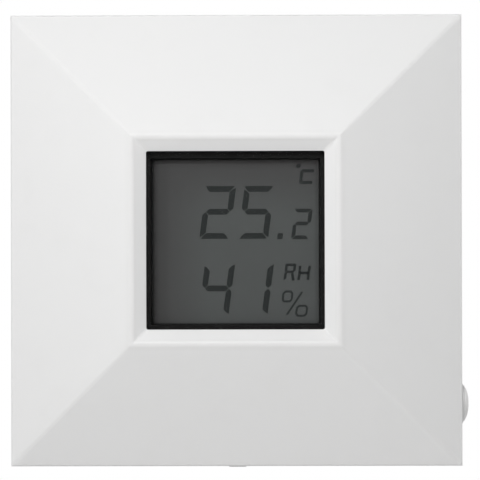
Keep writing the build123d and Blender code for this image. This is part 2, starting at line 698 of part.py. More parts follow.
def make_cell(side):
    body_end = CELL_LENGTH - NUB_LENGTH
    rim = body_end - NUB_SHOULDER_STEP
    shoulder_r = CELL_R - CELL_EDGE_R - NUB_SHOULDER_INSET
    points = [
        (0, 0),
        (0, CELL_R - CELL_EDGE_R),
        (CELL_EDGE_R, CELL_R),
        (rim - CELL_EDGE_R, CELL_R),
        (rim, CELL_R - CELL_EDGE_R),
        (rim, shoulder_r),
        (body_end, shoulder_r),
        (body_end, NUB_R),
        (CELL_LENGTH, NUB_R),
        (CELL_LENGTH, 0),
    ]
    outline = Polyline(*points, close=True)
    return turned(outline, cell_ends(side)[0], CELL_DEPTH, cell_z(side), side)


def contact_box(z, height, wall_side, extra=0):
    """The blade of a contact, upright against one end wall of the holder."""
    face = BAY_LENGTH / 2 - CONTACT_T
    low, high = sorted((wall_side * (face - extra), wall_side * (BAY_LENGTH / 2)))
    floor = BOARD_REAR - HOLDER_FLOOR - CONTACT_INSET
    top = HOLDER_REAR + CONTACT_INSET
    blade = span(low, high, z - height / 2 - extra, z + height / 2 + extra, top, floor + extra)
    tail = span(low, high, z - TAIL_W / 2 - extra, z + TAIL_W / 2 + extra, floor, BOARD_REAR)
    return blade + tail


def contact_list():
    """Height and place of each blade: the bridge spans both cells on the left."""
    return {
        "bridge_contact": (0, CELL_PITCH + CONTACT_W, -1),
        "positive_contact": (cell_z(1), CONTACT_W, 1),
        "negative_contact": (cell_z(-1), CONTACT_W, 1),
    }


def make_battery_holder():
    """A tray with two round channels, open towards the base plate."""
    holder = block(0, 0, HOLDER_LENGTH, HOLDER_HEIGHT, HOLDER_REAR, BOARD_REAR)
    half = BAY_LENGTH / 2
    for side in (-1, 1):
        z = cell_z(side)
        holder -= rod(CHANNEL_R, -half, half, CELL_DEPTH, z)
        holder -= block(0, z, BAY_LENGTH, 2 * CHANNEL_R, HOLDER_REAR - CUT_OVERRUN, CELL_DEPTH)
        notch = Pos(0, side * HOLDER_SIDE) * RectangleRounded(HOLDER_NOTCH_W, 2 * HOLDER_END + CELL_FIT, TAB_R)
        notch_end = HOLDER_REAR + HOLDER_NOTCH_D
        holder -= slab(notch, HOLDER_REAR - CUT_OVERRUN, notch_end)
    for z, height, side in contact_list().values():
        holder -= contact_box(z, height, side, extra=CONTACT_FIT)
    return holder


def biarc(start, start_way, end, end_way):
    """Two arcs that leave one point and reach another in given directions."""
    across = end - start
    both = start_way + end_way
    turn = 2 * (1 - start_way.dot(end_way))
    along = across.dot(both)
    reach = (sqrt(along**2 + turn * across.dot(across)) - along) / turn
    first, last = start + start_way * reach, end - end_way * reach
    middle = (first + last) * 0.5
    way = (last - first).normalized()
    return [TangentArc(start, middle, tangent=start_way), TangentArc(middle, end, tangent=way)]


def make_contact_spring(side):
    """A conical coil, from its blade to the negative end of a cell."""
    base_x = -side * (BAY_LENGTH / 2 - CONTACT_T - CONTACT_GAP - SPRING_WIRE_R)
    tip_x = cell_ends(side)[0] - side * (SPRING_WIRE_R + CONTACT_GAP)
    z = cell_z(side)
    turn = 2 * pi * SPRING_TURNS

    def place(share):
        radius = SPRING_BASE_R + (SPRING_TIP_R - SPRING_BASE_R) * share
        angle = turn * share
        x = base_x + (tip_x - base_x) * share
        return Vector(x, -CELL_DEPTH + radius * cos(angle), z + radius * sin(angle))

    def heading(share):
        radius = SPRING_BASE_R + (SPRING_TIP_R - SPRING_BASE_R) * share
        angle = turn * share
        shrink = SPRING_TIP_R - SPRING_BASE_R
        return Vector(
            tip_x - base_x,
            shrink * cos(angle) - radius * turn * sin(angle),
            shrink * sin(angle) + radius * turn * cos(angle),
        ).normalized()

    steps = SPRING_TURNS * ARCS_PER_TURN
    shares = [step / steps for step in range(steps + 1)]
    arcs = []
    for low, high in zip(shares, shares[1:]):
        arcs += biarc(place(low), heading(low), place(high), heading(high))
    points = [place(step / (steps * ARCS_PER_TURN)) for step in range(steps * ARCS_PER_TURN + 1)]
    one_turn = ARCS_PER_TURN * ARCS_PER_TURN
    nearest = min(
        (a - b).length for i, a in enumerate(points) for b in points[i + one_turn // 2:]
    )
    print("least gap between turns of a contact spring", round(nearest - 2 * SPRING_WIRE_R, 3))
    start = Plane(origin=place(0), z_dir=heading(0))
    return sweep(start * Circle(SPRING_WIRE_R), path=Wire([arc.edge() for arc in arcs]))


# Parts on the rear of the board


def on_board(x, z, width, height, thickness, under=0):
    """A block that stands on the rear of the board, or on something of a given thickness."""
    return block(x, z, width, height, BOARD_REAR - under - thickness, BOARD_REAR - under)


def by_holder(height):
    """How far from the board's middle a part of this height stands, next to the holder."""
    return HOLDER_SIDE + PART_GAP + height / 2


def lead_row(x, z, count, pitch, width, reach, along_x):
    """A row of flat leads on each of two opposite sides of a chip."""
    leads = []
    for place in range(count):
        shift = pitch * (place - (count - 1) / 2)
        if along_x:
            leads.append(on_board(x + shift, z, width, reach, LEAD_T))
        else:
            leads.append(on_board(x, z + shift, reach, width, LEAD_T))
    return leads


def make_microcontroller():
    reach = CHIP_SIDE + 2 * CHIP_LEAD_REACH
    z = -by_holder(reach)
    leads = (CHIP_X, z, CHIP_LEAD_COUNT, CHIP_LEAD_PITCH, CHIP_LEAD_W, reach)
    chip = on_board(CHIP_X, z, CHIP_SIDE, CHIP_SIDE, CHIP_T)
    return chip + lead_row(*leads, along_x=True) + lead_row(*leads, along_x=False)


def make_display_driver():
    reach = DRIVER_H + 2 * DRIVER_LEAD_REACH
    z = by_holder(reach)
    leads = (DRIVER_X, z, DRIVER_LEAD_COUNT, DRIVER_LEAD_PITCH, DRIVER_LEAD_W, reach)
    return on_board(DRIVER_X, z, DRIVER_W, DRIVER_H, DRIVER_T) + lead_row(*leads, along_x=True)


def make_radio_board():
    return on_board(RADIO_X, -by_holder(RADIO_H), RADIO_W, RADIO_H, RADIO_T)


def make_radio_shield():
    """A folded metal lid over the radio's chips."""
    place = (RADIO_X + SHIELD_SHIFT, -by_holder(RADIO_H))
    lid = on_board(*place, SHIELD_W, SHIELD_H, SHIELD_T, under=RADIO_T)
    return fillet(lid.edges().filter_by(Axis.Y), SHIELD_R)


def make_antenna_wire():
    """A bare wire, bent up from the board at both ends, that runs along two of its edges."""
    high = BOARD_EDGE - ANTENNA_INSET
    low = by_holder(2 * ANTENNA_R)
    raised = ANTENNA_RISE - BOARD_REAR
    route = FilletPolyline(
        (-high, -BOARD_REAR, low),
        (-high, raised, low),
        (-high, raised, high),
        (high, raised, high),
        (high, -BOARD_REAR, high),
        radius=ANTENNA_BEND_R,
    )
    start = Plane(origin=(-high, -BOARD_REAR, low), z_dir=(0, 1, 0))
    return sweep(start * Circle(ANTENNA_R), path=route)


def make_crystal():
    outline = Pos(CRYSTAL_X, CRYSTAL_INSET - BOARD_EDGE) * SlotOverall(CRYSTAL_LENGTH, CRYSTAL_W)
    can = slab(outline, BOARD_REAR - CRYSTAL_T, BOARD_REAR)
    return fillet(edges_at(can, BOARD_REAR - CRYSTAL_T), TAB_R)


def make_buffer_capacitor():
    """An aluminium can with a rolled groove, on a square plastic foot."""
    place = (CAPACITOR_X, by_holder(CAPACITOR_FOOT))
    groove_end = BOARD_REAR - CAPACITOR_GROOVE_AT
    groove_start = groove_end - CAPACITOR_GROOVE
    can = peg(*place, CAPACITOR_R, BOARD_REAR - CAPACITOR_T, BOARD_REAR)
    can -= peg(*place, CAPACITOR_R + CUT_OVERRUN, groove_start, groove_end)
    can += peg(*place, CAPACITOR_R - CAPACITOR_GROOVE, groove_start, groove_end)
    return can + on_board(*place, CAPACITOR_FOOT, CAPACITOR_FOOT, CAPACITOR_FOOT_T)


def make_climate_sensor():
    """The small chip that measures, with a round port towards the air slots."""
    chip = on_board(CLIMATE_X, CLIMATE_Z, CLIMATE_SIDE, CLIMATE_SIDE, CLIMATE_T)
    face = BOARD_REAR - CLIMATE_T
    return chip - peg(CLIMATE_X, CLIMATE_Z, CLIMATE_PORT_R, face - CUT_OVERRUN, face + CLIMATE_PORT_DEPTH)


def make_small_parts():
    """Resistors and capacitors in three rows."""
    first = by_holder(SMALL_PART_W)
    sizes = (SMALL_PART_L, SMALL_PART_W, SMALL_PART_T)
    return Compound([
        on_board(x, side * (first + place * SMALL_PART_PITCH), *sizes)
        for x, side in SMALL_ROWS
        for place in range(SMALL_ROW_COUNT)
    ])


def all_pieces():
    pieces = {
        "front_cover": make_front_cover(),
        "display_lens": make_display_lens(),
        "display_mask": make_display_mask(),
        "lcd_frame": make_lcd_frame(),
        "contact_strips": make_contact_strips(),
        "main_board": make_main_board(),
        "board_screws": make_board_screws(),
        "wall_plate": make_wall_plate(),
        "release_latch": make_release_latch(),
        "function_button": make_function_button(),
        "tact_switch": make_tact_switch(),
        "switch_plunger": make_switch_plunger(),
        "battery_holder": make_battery_holder(),
        "upper_cell": make_cell(1),
        "lower_cell": make_cell(-1),
        "contact_springs": Compound([make_contact_spring(1), make_contact_spring(-1)]),
        "radio_board": make_radio_board(),
        "radio_shield": make_radio_shield(),
        "antenna_wire": make_antenna_wire(),
        "microcontroller": make_microcontroller(),
        "display_driver": make_display_driver(),
        "crystal": make_crystal(),
        "buffer_capacitor": make_buffer_capacitor(),
        "climate_sensor": make_climate_sensor(),
        "small_parts": make_small_parts(),
    }
    pieces |= make_display_glass()
    for name, (z, height, side) in contact_list().items():
        pieces[name] = contact_box(z, height, side)
    return pieces


os.makedirs("parts", exist_ok=True)
for name, piece in all_pieces().items():
    export_step(piece, f"parts/{name}.step")
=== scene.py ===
# %% [markdown]
# A room sensor for temperature and humidity, dressed in Blender
#
# The solids come from a CAD model: a white square cover shaped like a low pyramid, a segment
# display in its middle, a circuit board, two cells and a plate for the wall. This lesson gives
# each of them the finish of the real thing, and adds what CAD left out: the figures on the
# display, the white print on the board, solder and test pads.
# The frame must be loaded first, because everything else is placed against it.

# %% Load the frame
import bpy
from math import atan2, cos, pi, radians, sin, tan
from mathutils import Matrix, Vector


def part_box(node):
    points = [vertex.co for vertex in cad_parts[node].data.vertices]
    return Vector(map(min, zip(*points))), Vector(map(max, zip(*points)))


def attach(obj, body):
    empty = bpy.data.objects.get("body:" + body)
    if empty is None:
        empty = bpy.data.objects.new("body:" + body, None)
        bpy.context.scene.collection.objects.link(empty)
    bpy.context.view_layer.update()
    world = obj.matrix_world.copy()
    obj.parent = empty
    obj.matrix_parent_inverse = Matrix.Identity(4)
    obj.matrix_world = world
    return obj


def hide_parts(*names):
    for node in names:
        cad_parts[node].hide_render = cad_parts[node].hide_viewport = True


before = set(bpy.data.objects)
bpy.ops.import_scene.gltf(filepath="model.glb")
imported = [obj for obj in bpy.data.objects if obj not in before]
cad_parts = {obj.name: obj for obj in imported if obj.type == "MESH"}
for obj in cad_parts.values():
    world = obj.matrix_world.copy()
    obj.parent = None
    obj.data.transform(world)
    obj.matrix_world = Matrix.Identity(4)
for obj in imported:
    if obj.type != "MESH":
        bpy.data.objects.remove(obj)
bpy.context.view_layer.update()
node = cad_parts

# %% [markdown]
# The frame is in metres, with X to the right, Z up and the front facing -Y. The wall is the
# plane y = 0. A depth is the distance from the wall towards the viewer. Sizes below are written
# in millimetres, and MM turns them into metres where they are used.

# %% Units and places
MM = 0.001
CREST, REAR = (-corner.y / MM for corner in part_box("front_cover"))
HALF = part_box("front_cover")[1].x / MM  # from the middle to a side wall
SHOULDER = 15.4  # depth at which the facets meet the side walls
MASK_FACE = -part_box("display_mask")[0].y / MM
FILM_FACE = -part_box("lcd_front_film")[0].y / MM
BOARD_REAR = -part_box("main_board")[1].y / MM
print("crest", round(CREST, 2), "film", round(FILM_FACE, 2), "board's rear", round(BOARD_REAR, 2))

# %% [markdown]
# The photograph looks almost straight at the display, from a little to the right, with a long
# lens: both side walls are hidden and the button shows only as a crescent. The frame spans
# about 85 mm at the edge of the facets. The camera is made from an aim point, a distance and
# three small angles, so that each can be corrected alone.

# %% Camera
AIM = Vector((0.67 * MM, -15.5 * MM, 0.075 * MM))
DISTANCE = 0.8
AZIMUTH, ELEVATION, ROLL = radians(1.0), radians(-0.3), radians(-0.135)
FRAME_WIDTH = 85.10 * MM
SENSOR = 36

lens_data = bpy.data.cameras.new("camera")
lens_data.sensor_width = SENSOR
lens_data.lens = SENSOR * DISTANCE / FRAME_WIDTH
lens_data.clip_start, lens_data.clip_end = 0.01, 20
camera = bpy.data.objects.new("camera", lens_data)
bpy.context.scene.collection.objects.link(camera)
back = Vector((sin(AZIMUTH), -cos(AZIMUTH), tan(ELEVATION))).normalized()
turn = back.to_track_quat("Z", "Y").to_matrix() @ Matrix.Rotation(ROLL, 3, "Z")
camera.matrix_world = Matrix.LocRotScale(AIM + back * DISTANCE, turn.to_quaternion(), None)
bpy.context.scene.camera = camera
print("lens", round(lens_data.lens), "mm, camera at", tuple(round(v, 4) for v in camera.location))

# %% [markdown]
# A finish is easier to read as a formula than as a tree of nodes. The class below wraps one
# socket and overloads the operators, so that an expression such as `1 - mask * 0.3` adds its
# own Math nodes. Everything else comes from `Finish.node`, which takes the node's type, its
# settings and the values or links of its sockets.

# %% The socket class
class Value:
    """A number that varies over the surface."""

    def __init__(self, finish, socket):
        self.finish, self.socket = finish, socket

    def math(self, operation, *others):
        made = self.finish.node("ShaderNodeMath", {"operation": operation}, self, *others)
        return Value(self.finish, made.outputs[0])

    def __add__(self, other):
        return self.math("ADD", other)

    def __sub__(self, other):
        return self.math("SUBTRACT", other)

    def __mul__(self, other):
        return self.math("MULTIPLY", other)

    def __truediv__(self, other):
        return self.math("DIVIDE", other)

    def __rsub__(self, first):
        made = self.finish.node("ShaderNodeMath", {"operation": "SUBTRACT"}, first, self)
        return Value(self.finish, made.outputs[0])

    __radd__, __rmul__ = __add__, __mul__

    def __abs__(self):
        return self.math("ABSOLUTE")

    def most(self, other):
        return self.math("MAXIMUM", other)

    def least(self, other):
        return self.math("MINIMUM", other)

    def cell(self, pitch):
        """Distance from the middle of the nearest of many equal cells."""
        return abs((self / pitch).math("FRACT") - 0.5) * pitch

    def inside(self, edge, blur):
        """1 where the number is below an edge, 0 above it, with a soft step."""
        settings = {"interpolation_type": "SMOOTHSTEP"}
        made = self.finish.node(
            "ShaderNodeMapRange", settings, self, edge - blur, edge + blur, 1.0, 0.0
        )
        return Value(self.finish, made.outputs[0])

# %% [markdown]
# A finish starts as one Principled shader. Object coordinates are used throughout: a node's
# object sits at the origin, so they are the frame's own coordinates, and a pattern can be put
# exactly on an edge or a corner. They are given in millimetres, to match the sizes. A finish
# is found again in a table, because the frame brings plain materials with the same names.

# %% The finish class
finish = {}


class Finish:
    """A material under construction."""

    def __init__(self, name):
        self.material = finish[name] = bpy.data.materials.new(name)
        self.material.use_nodes = True
        self.tree = self.material.node_tree
        self.shader = self.tree.nodes["Principled BSDF"]
        place = self.node("ShaderNodeTexCoord", {}).outputs["Object"]
        in_mm = self.node("ShaderNodeVectorMath", {"operation": "SCALE"}, place, Scale=1 / MM)
        self.place = in_mm.outputs[0]
        parts = self.node("ShaderNodeSeparateXYZ", {}, self.place)
        self.x, self.y, self.z = (Value(self, out) for out in parts.outputs)

    def node(self, kind, settings, *sockets, **named):
        """Adds a node: settings first, then its sockets by order or by name."""
        made = self.tree.nodes.new(kind)
        for name, setting in settings.items():
            setattr(made, name, setting)
        pairs = [(made.inputs[i], v) for i, v in enumerate(sockets)]
        pairs += [(made.inputs[name.replace("_", " ")], v) for name, v in named.items()]
        for socket, value in pairs:
            self.feed(socket, value)
        return made

    def feed(self, socket, value):
        """Gives a socket a link or a plain value."""
        value = value.socket if isinstance(value, Value) else value
        if isinstance(value, bpy.types.NodeSocket):
            self.tree.links.new(value, socket)
        else:
            socket.default_value = value

    def noise(self, grain, detail=2.0, stretch=(1, 1, 1)):
        """Noise with features of about `grain` millimetres, from 0 to 1."""
        place = self.node("ShaderNodeMapping", {}, self.place, Scale=stretch).outputs[0]
        made = self.node("ShaderNodeTexNoise", {}, place, Scale=1 / grain, Detail=detail)
        return Value(self, made.outputs["Fac"])

    def spots(self, grain):
        """Distance to the nearest of many random points, as a share of their spacing."""
        made = self.node("ShaderNodeTexVoronoi", {}, self.place, Scale=1 / grain)
        return Value(self, made.outputs["Distance"])

    def mix(self, share, first, second):
        """One colour fading to another."""
        made = self.node("ShaderNodeMix", {"data_type": "RGBA"})
        for place, value in ((0, share), (6, first), (7, second)):
            self.feed(made.inputs[place], value)
        return made.outputs[2]

    def bump(self, height, depth):
        """Relief from a height of 0 to 1, `depth` millimetres deep."""
        made = self.node("ShaderNodeBump", {}, Distance=depth * MM, Height=height)
        self.feed(self.shader.inputs["Normal"], made.outputs[0])

    def set(self, **sockets):
        for name, value in sockets.items():
            self.feed(self.shader.inputs[name.replace("_", " ")], value)


def grey(level, warmth=0.0):
    """A colour near grey, a little warm or cool."""
    return level * (1 + warmth), level, level * (1 - warmth), 1


def scaled(colour, share):
    """A colour made lighter or darker."""
    return tuple(c * share for c in colour[:3]) + (1,)


def hypotenuse(across, up):
    """The straight distance that two distances at right angles make."""
    return (across * across + up * up).math("SQRT")

# %% [markdown]
# The cover is white ABS from a mould with a fine spark-eroded texture. Seen close, it has a
# grain of about a fifth of a millimetre, slightly varying gloss, and a faint flow pattern.
# Edges that fingers touch are polished a little and take a trace of grey. The edge masks are
# distances in the frame: the hips of the pyramid lie where |x| = |z|, and the crest is a square
# ring, so no measured or painted mask is needed.

# %% White plastic
def white_plastic(name, colour, edges, grain=0.2, depth=0.012, gloss=0.48, bright=None):
    """Textured white ABS. `edges` gives a mask of worn edges, and `bright` one of edges with a painted
    highlight.
    """
    f = Finish(name)
    flow = f.noise(22.0, 3.0)
    smudge = f.noise(6.0, 4.0)
    fine = f.noise(grain, 3.0)
    wear = (edges(f) * (smudge * 0.8 + 0.2)).least(1.0)
    base = f.mix(flow, scaled(colour, 0.985), colour)
    # painted highlight: the colour turns lighter along the edges that `bright` marks
    if bright:
        base = f.mix(bright(f), base, grey(0.93))
    dusty = f.mix((smudge - 0.55).most(0.0) * 0.35, base, grey(0.74, 0.012))
    f.set(
        Base_Color=f.mix(wear * 0.22, dusty, grey(0.70, 0.015)),
        Roughness=gloss + (smudge - 0.5) * 0.12 - wear * 0.12,
        Specular_IOR_Level=0.35,
    )
    f.bump(fine * (1 - wear * 0.7), depth)


WINDOW = 15.65  # half the width of the window in the cover


def cover_edges(f):
    """Hips, crest, window and outer edges of the front cover."""
    ax, az = abs(f.x), abs(f.z)
    reach, short = ax.most(az), ax.least(az)
    front = (f.y + SHOULDER - 0.4).inside(0.0, 0.3)
    hip = (reach - short).inside(0.25, 0.25) * front * (18.0 - reach).inside(0.0, 0.2)
    crest = (f.y + CREST - 0.3).inside(0.0, 0.15)
    window = abs(reach - WINDOW).inside(0.14, 0.12) * (f.y + MASK_FACE + 0.1).inside(0.0, 0.3)
    rear = abs(reach - HALF).inside(0.3, 0.3) * abs(f.y + REAR).inside(0.3, 0.3)
    corner = (2 * HALF - ax - az).inside(0.7, 0.5)
    return (hip * 0.5 + crest + window * 0.7 + rear + corner).least(1.0)


def painted_edge_highlight(f):
    """Painted highlight on the edge between the facets and the side walls, where the colour is made
    lighter.
    """
    reach = abs(f.x).most(abs(f.z))
    return abs(reach - HALF).inside(0.3, 0.3) * abs(f.y + SHOULDER).inside(0.35, 0.3)


white_plastic("cover_white", (0.868, 0.868, 0.866, 1), cover_edges, bright=painted_edge_highlight)
print("cover_white has", len(finish["cover_white"].node_tree.nodes), "nodes")

# %% [markdown]
# The plate and the latch come from another mould, a little glossier. The plate's rear shows
# what mould makers leave: round ejector marks and, at the gate, a small ring. They are bump
# only, because the real ones are a few hundredths of a millimetre deep.

# %% Plate, latch and button
PLATE_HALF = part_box("wall_plate")[1].x / MM
EJECTOR_X, EJECTOR_Z, EJECTOR_R, GATE_R = 21.0, 22.0, 2.5, 2.0
MARKED_REAR, MARKED_FRONT = 0.7, 2.0  # marks lie up to the first depth and at the second


def plate_plastic():
    """White plastic with ejector marks and a gate mark in its relief."""
    f = Finish("plate_white")
    smudge, fine, flow = f.noise(7.0, 4.0), f.noise(0.3, 3.0), f.noise(25.0, 3.0)
    wear = abs(abs(f.x).most(abs(f.z)) - PLATE_HALF).inside(0.3, 0.3) * smudge
    base = f.mix(flow, grey(0.80, 0.004), grey(0.835, 0.002))
    ejector = hypotenuse(abs(f.x) - EJECTOR_X, abs(f.z) - EJECTOR_Z).inside(EJECTOR_R, 0.08)
    gate = hypotenuse(f.x, f.z)
    marks = ejector * 0.6 + abs(gate - GATE_R).inside(0.25, 0.1) + gate.inside(0.6, 0.1)
    marked = (-MARKED_REAR - f.y).inside(0.0, 0.1) + abs(f.y + MARKED_FRONT).inside(0.1, 0.05)
    relief = fine * 0.12 - marks * marked
    f.set(
        Base_Color=f.mix(wear * 0.25, base, grey(0.68, 0.015)),
        Roughness=0.42 + (smudge - 0.5) * 0.14,
        Specular_IOR_Level=0.4,
    )
    f.bump(relief, 0.05)


TAB_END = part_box("release_latch")[0].z / MM
CAP = (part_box("function_button")[0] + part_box("function_button")[1]) / 2 / MM
CAP_RIM = 3.5  # radius at which the button's rim is worn


def tab_edges(f):
    """The end of the finger tab."""
    return (f.z - TAB_END - 0.3).inside(0.0, 0.3)


def cap_edges(f):
    """The rim of the button's dome."""
    far = hypotenuse(f.y - CAP.y, f.z - CAP.z)
    return abs(far - CAP_RIM).inside(0.25, 0.2) * (HALF - f.x).inside(0.2, 0.2)


plate_plastic()
white_plastic("latch_white", (0.83, 0.83, 0.825, 1), tab_edges, 0.3, 0.01)
white_plastic("button_white", (0.85, 0.85, 0.848, 1), cap_edges, 0.25, 0.008, 0.4)
print("white plastics:", sorted(finish))

# %% [markdown]
# A reflective segment display is a sandwich: a clear lens, a black mask, a grey polarising film,
# two glasses and a matt silver reflector. Of all these the eye sees the dark grey film with a
# greenish tone, the black border and the figures. The lens has to be almost invisible from the
# front and glossy at a slant, so its alpha grows with the slant. The film's colour has painted
# light, lighter towards its lower right where more light reaches through the mask, and a painted
# shadow of the mask, darker in a soft band along it, most of all on the left.

# %% Lens and mask
def clear_lens():
    """Clear acrylic: next to nothing from the front, glossy at a slant."""
    f = Finish("clear_lens")
    rim = f.node("ShaderNodeLayerWeight", {}, 0.35).outputs["Facing"]
    slant = Value(f, rim)
    dust = f.spots(1.9).inside(0.05, 0.03) * (f.noise(9.0) - 0.45).most(0.0)
    f.set(
        Base_Color=grey(0.03),
        Roughness=0.06 + f.noise(5.0, 3.0) * 0.05,
        Alpha=(0.02 + slant * slant * 0.45 + dust * 0.3).least(0.6),
        Specular_IOR_Level=0.5,
    )
    f.material.surface_render_method = "BLENDED"


def mask_black():
    """Black moulded frame, matt, with a faint mottle."""
    f = Finish("mask_black")
    fine = f.noise(0.15, 2.0)
    base = f.mix(f.noise(3.0, 3.0), grey(0.0035, 0.02), grey(0.0075, 0.03))
    f.set(Base_Color=base, Roughness=0.5 + fine * 0.12, Specular_IOR_Level=0.12)
    f.bump(fine, 0.01)


clear_lens()
mask_black()
print("lens and mask made")

# %% Film, glass and reflector
SEEN = 14.63  # half the width of the film that the mask leaves open
DIM_LEFT, DIM_TOP, FADE = 13.5, 13.3, 9.0  # painted light: from these edges the film's tone grows lighter over FADE


def display_film():
    """The grey of the display, with a fine weave of pixels, painted light towards the lower right and
    a painted shadow of the mask along its edges.
    """
    f = Finish("film_grey")
    # painted light: the film's colour grows lighter towards the lower right
    across = ((f.x + DIM_LEFT) / FADE).most(0.0).least(1.0)
    down = ((DIM_TOP - f.z) / FADE).most(0.0).least(1.0)
    painted_light = across * down * (0.9 + f.noise(8.0, 2.0) * 0.2)
    tone = f.mix(painted_light, (0.0670, 0.0667, 0.0667, 1), (0.0905, 0.0965, 0.0952, 1))
    # painted shadow of the mask: the colour darkens in soft bands along its edges, widest on the left
    from_left, from_right, from_foot = f.x + SEEN, SEEN - f.x, f.z + SEEN
    from_top = SEEN - 0.5 - f.z
    left = from_left.inside(0.7, 0.7) * 0.5 + from_left.inside(0.28, 0.22) * 0.4
    right = from_right.inside(0.5, 0.5) * 0.3
    ends = from_top.inside(0.9, 0.9) * 0.2 + from_foot.inside(0.45, 0.45) * 0.15
    painted_shadow = (left + right + ends).least(0.9)
    f.set(
        Base_Color=f.mix(painted_shadow, tone, grey(0.0)),
        Roughness=0.42 + f.noise(0.4, 2.0) * 0.1,
        Specular_IOR_Level=0.12,
    )
    f.bump(f.noise(0.25, 2.0), 0.004)


def display_glass():
    """Edge of the display glass, green-grey and glossy."""
    f = Finish("display_glass")
    tone = f.mix(f.noise(4.0, 3.0), (0.10, 0.125, 0.115, 1), (0.15, 0.18, 0.165, 1))
    f.set(Base_Color=tone, Roughness=0.08 + f.noise(2.0, 2.0) * 0.08, Specular_IOR_Level=0.5)


def reflector_foil():
    """Matt silver foil with a fine brushed grain."""
    f = Finish("reflector_foil")
    brush = f.noise(0.3, 3.0, (0.06, 1, 1))
    f.set(Base_Color=f.mix(brush, grey(0.50), grey(0.66)), Metallic=0.8, Roughness=0.38 + brush * 0.2)
    f.bump(brush, 0.004)


display_film()
display_glass()
reflector_foil()
print("film, glass and reflector made")

# %% [markdown]
# The battery holder is black nylon, which always shows a faint mottled gloss. The contact
# strips are made of thin layers of conductive and clear rubber, a fifth of a millimetre apart,
# and that striping is what makes them recognisable.

# %% Holder, strips and switch
def black_plastic(name, level=0.018, grain=0.35, gloss=0.42, depth=0.02):
    """Dark nylon: mottled gloss, fine texture and greyed high spots."""
    f = Finish(name)
    fine, cloud = f.noise(grain, 3.0), f.noise(4.0, 4.0)
    base = f.mix(cloud, grey(level, 0.01), grey(level * 1.7, 0.02))
    scuff = (f.noise(1.6, 4.0, (1, 0.3, 1)) - 0.62).most(0.0) * 1.6
    f.set(
        Base_Color=f.mix(scuff, base, grey(0.12, 0.02)),
        Roughness=gloss + (cloud - 0.5) * 0.2,
        Specular_IOR_Level=0.45,
    )
    f.bump(fine, depth)


def strip_rubber():
    """Conductive rubber: black layers between pale blue ones."""
    f = Finish("strip_rubber")
    layer = f.x.cell(0.4).inside(0.1, 0.03)
    tone = f.mix(layer, (0.12, 0.20, 0.26, 1), grey(0.02))
    f.set(Base_Color=tone, Roughness=0.62 + f.noise(0.8, 2.0) * 0.15)
    f.bump(layer * 0.5 + f.noise(0.3, 2.0) * 0.5, 0.01)


DARK = {  # tone, grain, gloss and depth of the texture, unless they are the holder's
    "holder_black": (), "switch_black": (0.014, 0.2, 0.36, 0.008),
    "chip_black": (0.02, 0.12, 0.5, 0.01), "sensor_black": (0.03, 0.12, 0.45, 0.008),
}
for name, look in DARK.items():
    black_plastic(name, *look)
strip_rubber()
print("dark finishes:", sorted(DARK))

# %% [markdown]
# A board is green because of its solder mask, a lacquer over copper tracks. The tracks show as
# slightly raised, lighter lines that run along or across in blocks, and vias as small rings on
# a grid. The edge of the board has no lacquer and shows the straw colour of glass fibre.

# %% Board finishes
TRACK_PITCH, VIA_PITCH, VIA_R = 0.9, 2.7, 0.24


def circuit_board(name, lacquer, track, shift=0.0):
    """Solder mask over tracks, vias and bare edges."""
    f = Finish(name)
    block = (f.noise(7.0, 1.0) - 0.5).inside(0.0, 0.01)
    upright, level = (way.cell(TRACK_PITCH).inside(0.13, 0.03) for way in (f.x, f.z))
    gaps = (f.noise(3.2, 1.0) - 0.53).inside(0.0, 0.01)
    tracks = (upright * block + level * (1 - block)) * gaps
    via = hypotenuse((f.x + shift).cell(VIA_PITCH), (f.z + shift).cell(VIA_PITCH))
    chosen = (f.noise(2.4, 1.0) - 0.47).inside(0.0, 0.01)
    ring = abs(via - VIA_R).inside(0.09, 0.03) * chosen
    hole = via.inside(0.14, 0.03) * chosen
    deep = f.mix(f.noise(5.0, 3.0), lacquer, scaled(lacquer, 1.25))
    lined = f.mix(tracks * 0.8, deep, track)
    ringed = f.mix(ring, lined, (0.60, 0.48, 0.22, 1))
    f.set(
        Base_Color=f.mix(hole, ringed, grey(0.01)),
        Metallic=ring * 0.8,
        Roughness=0.30 + f.noise(1.2, 3.0) * 0.14,
        Specular_IOR_Level=0.5,
    )
    f.bump(tracks * 0.7 + ring - hole, 0.03)
    return f


BOARD_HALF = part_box("main_board")[1].x / MM


def main_board_green():
    """Green solder mask, and bare glass fibre on the board's four edges."""
    f = circuit_board("board_green", (0.010, 0.085, 0.030, 1), (0.022, 0.17, 0.062, 1))
    covered = f.shader.inputs["Base Color"].links[0].from_socket
    reach = abs(f.x).most(abs(f.z))
    edge = (BOARD_HALF - reach).inside(0.02, 0.01)
    layers = f.y.cell(0.2).inside(0.05, 0.02)
    bare = f.mix(layers, (0.32, 0.29, 0.15, 1), (0.22, 0.21, 0.11, 1))
    f.set(Base_Color=f.mix(edge, covered, bare))


main_board_green()
circuit_board("radio_board_blue", (0.008, 0.03, 0.10, 1), (0.02, 0.06, 0.17, 1), 0.6)
print("board finishes made")

# %% [markdown]
# Plated screws, nickel-plated spring steel, a tinned shield and an aluminium can are all grey,
# and differ in how they reflect: by the direction of their scratches and by how rough they are.
# One function makes them, with the scratches stretched along the way each was rolled or turned.

# %% Metal finishes
def metal(name, dark, bright, rough, stretch=(1, 1, 1), grain=0.5, stain=0.3):
    """Worn plated metal with directional scratches and stains."""
    f = Finish(name)
    brush, cloud = f.noise(grain, 4.0, stretch), f.noise(3.0, 4.0)
    tone = f.mix(brush, dark, bright)
    dull = (cloud - 0.5).most(0.0) * stain
    f.set(
        Base_Color=f.mix(dull, tone, grey(0.25, 0.05)),
        Metallic=1.0 - dull * 0.4,
        Roughness=rough + brush * 0.14 + dull * 0.4,
    )
    f.bump(brush, 0.004)


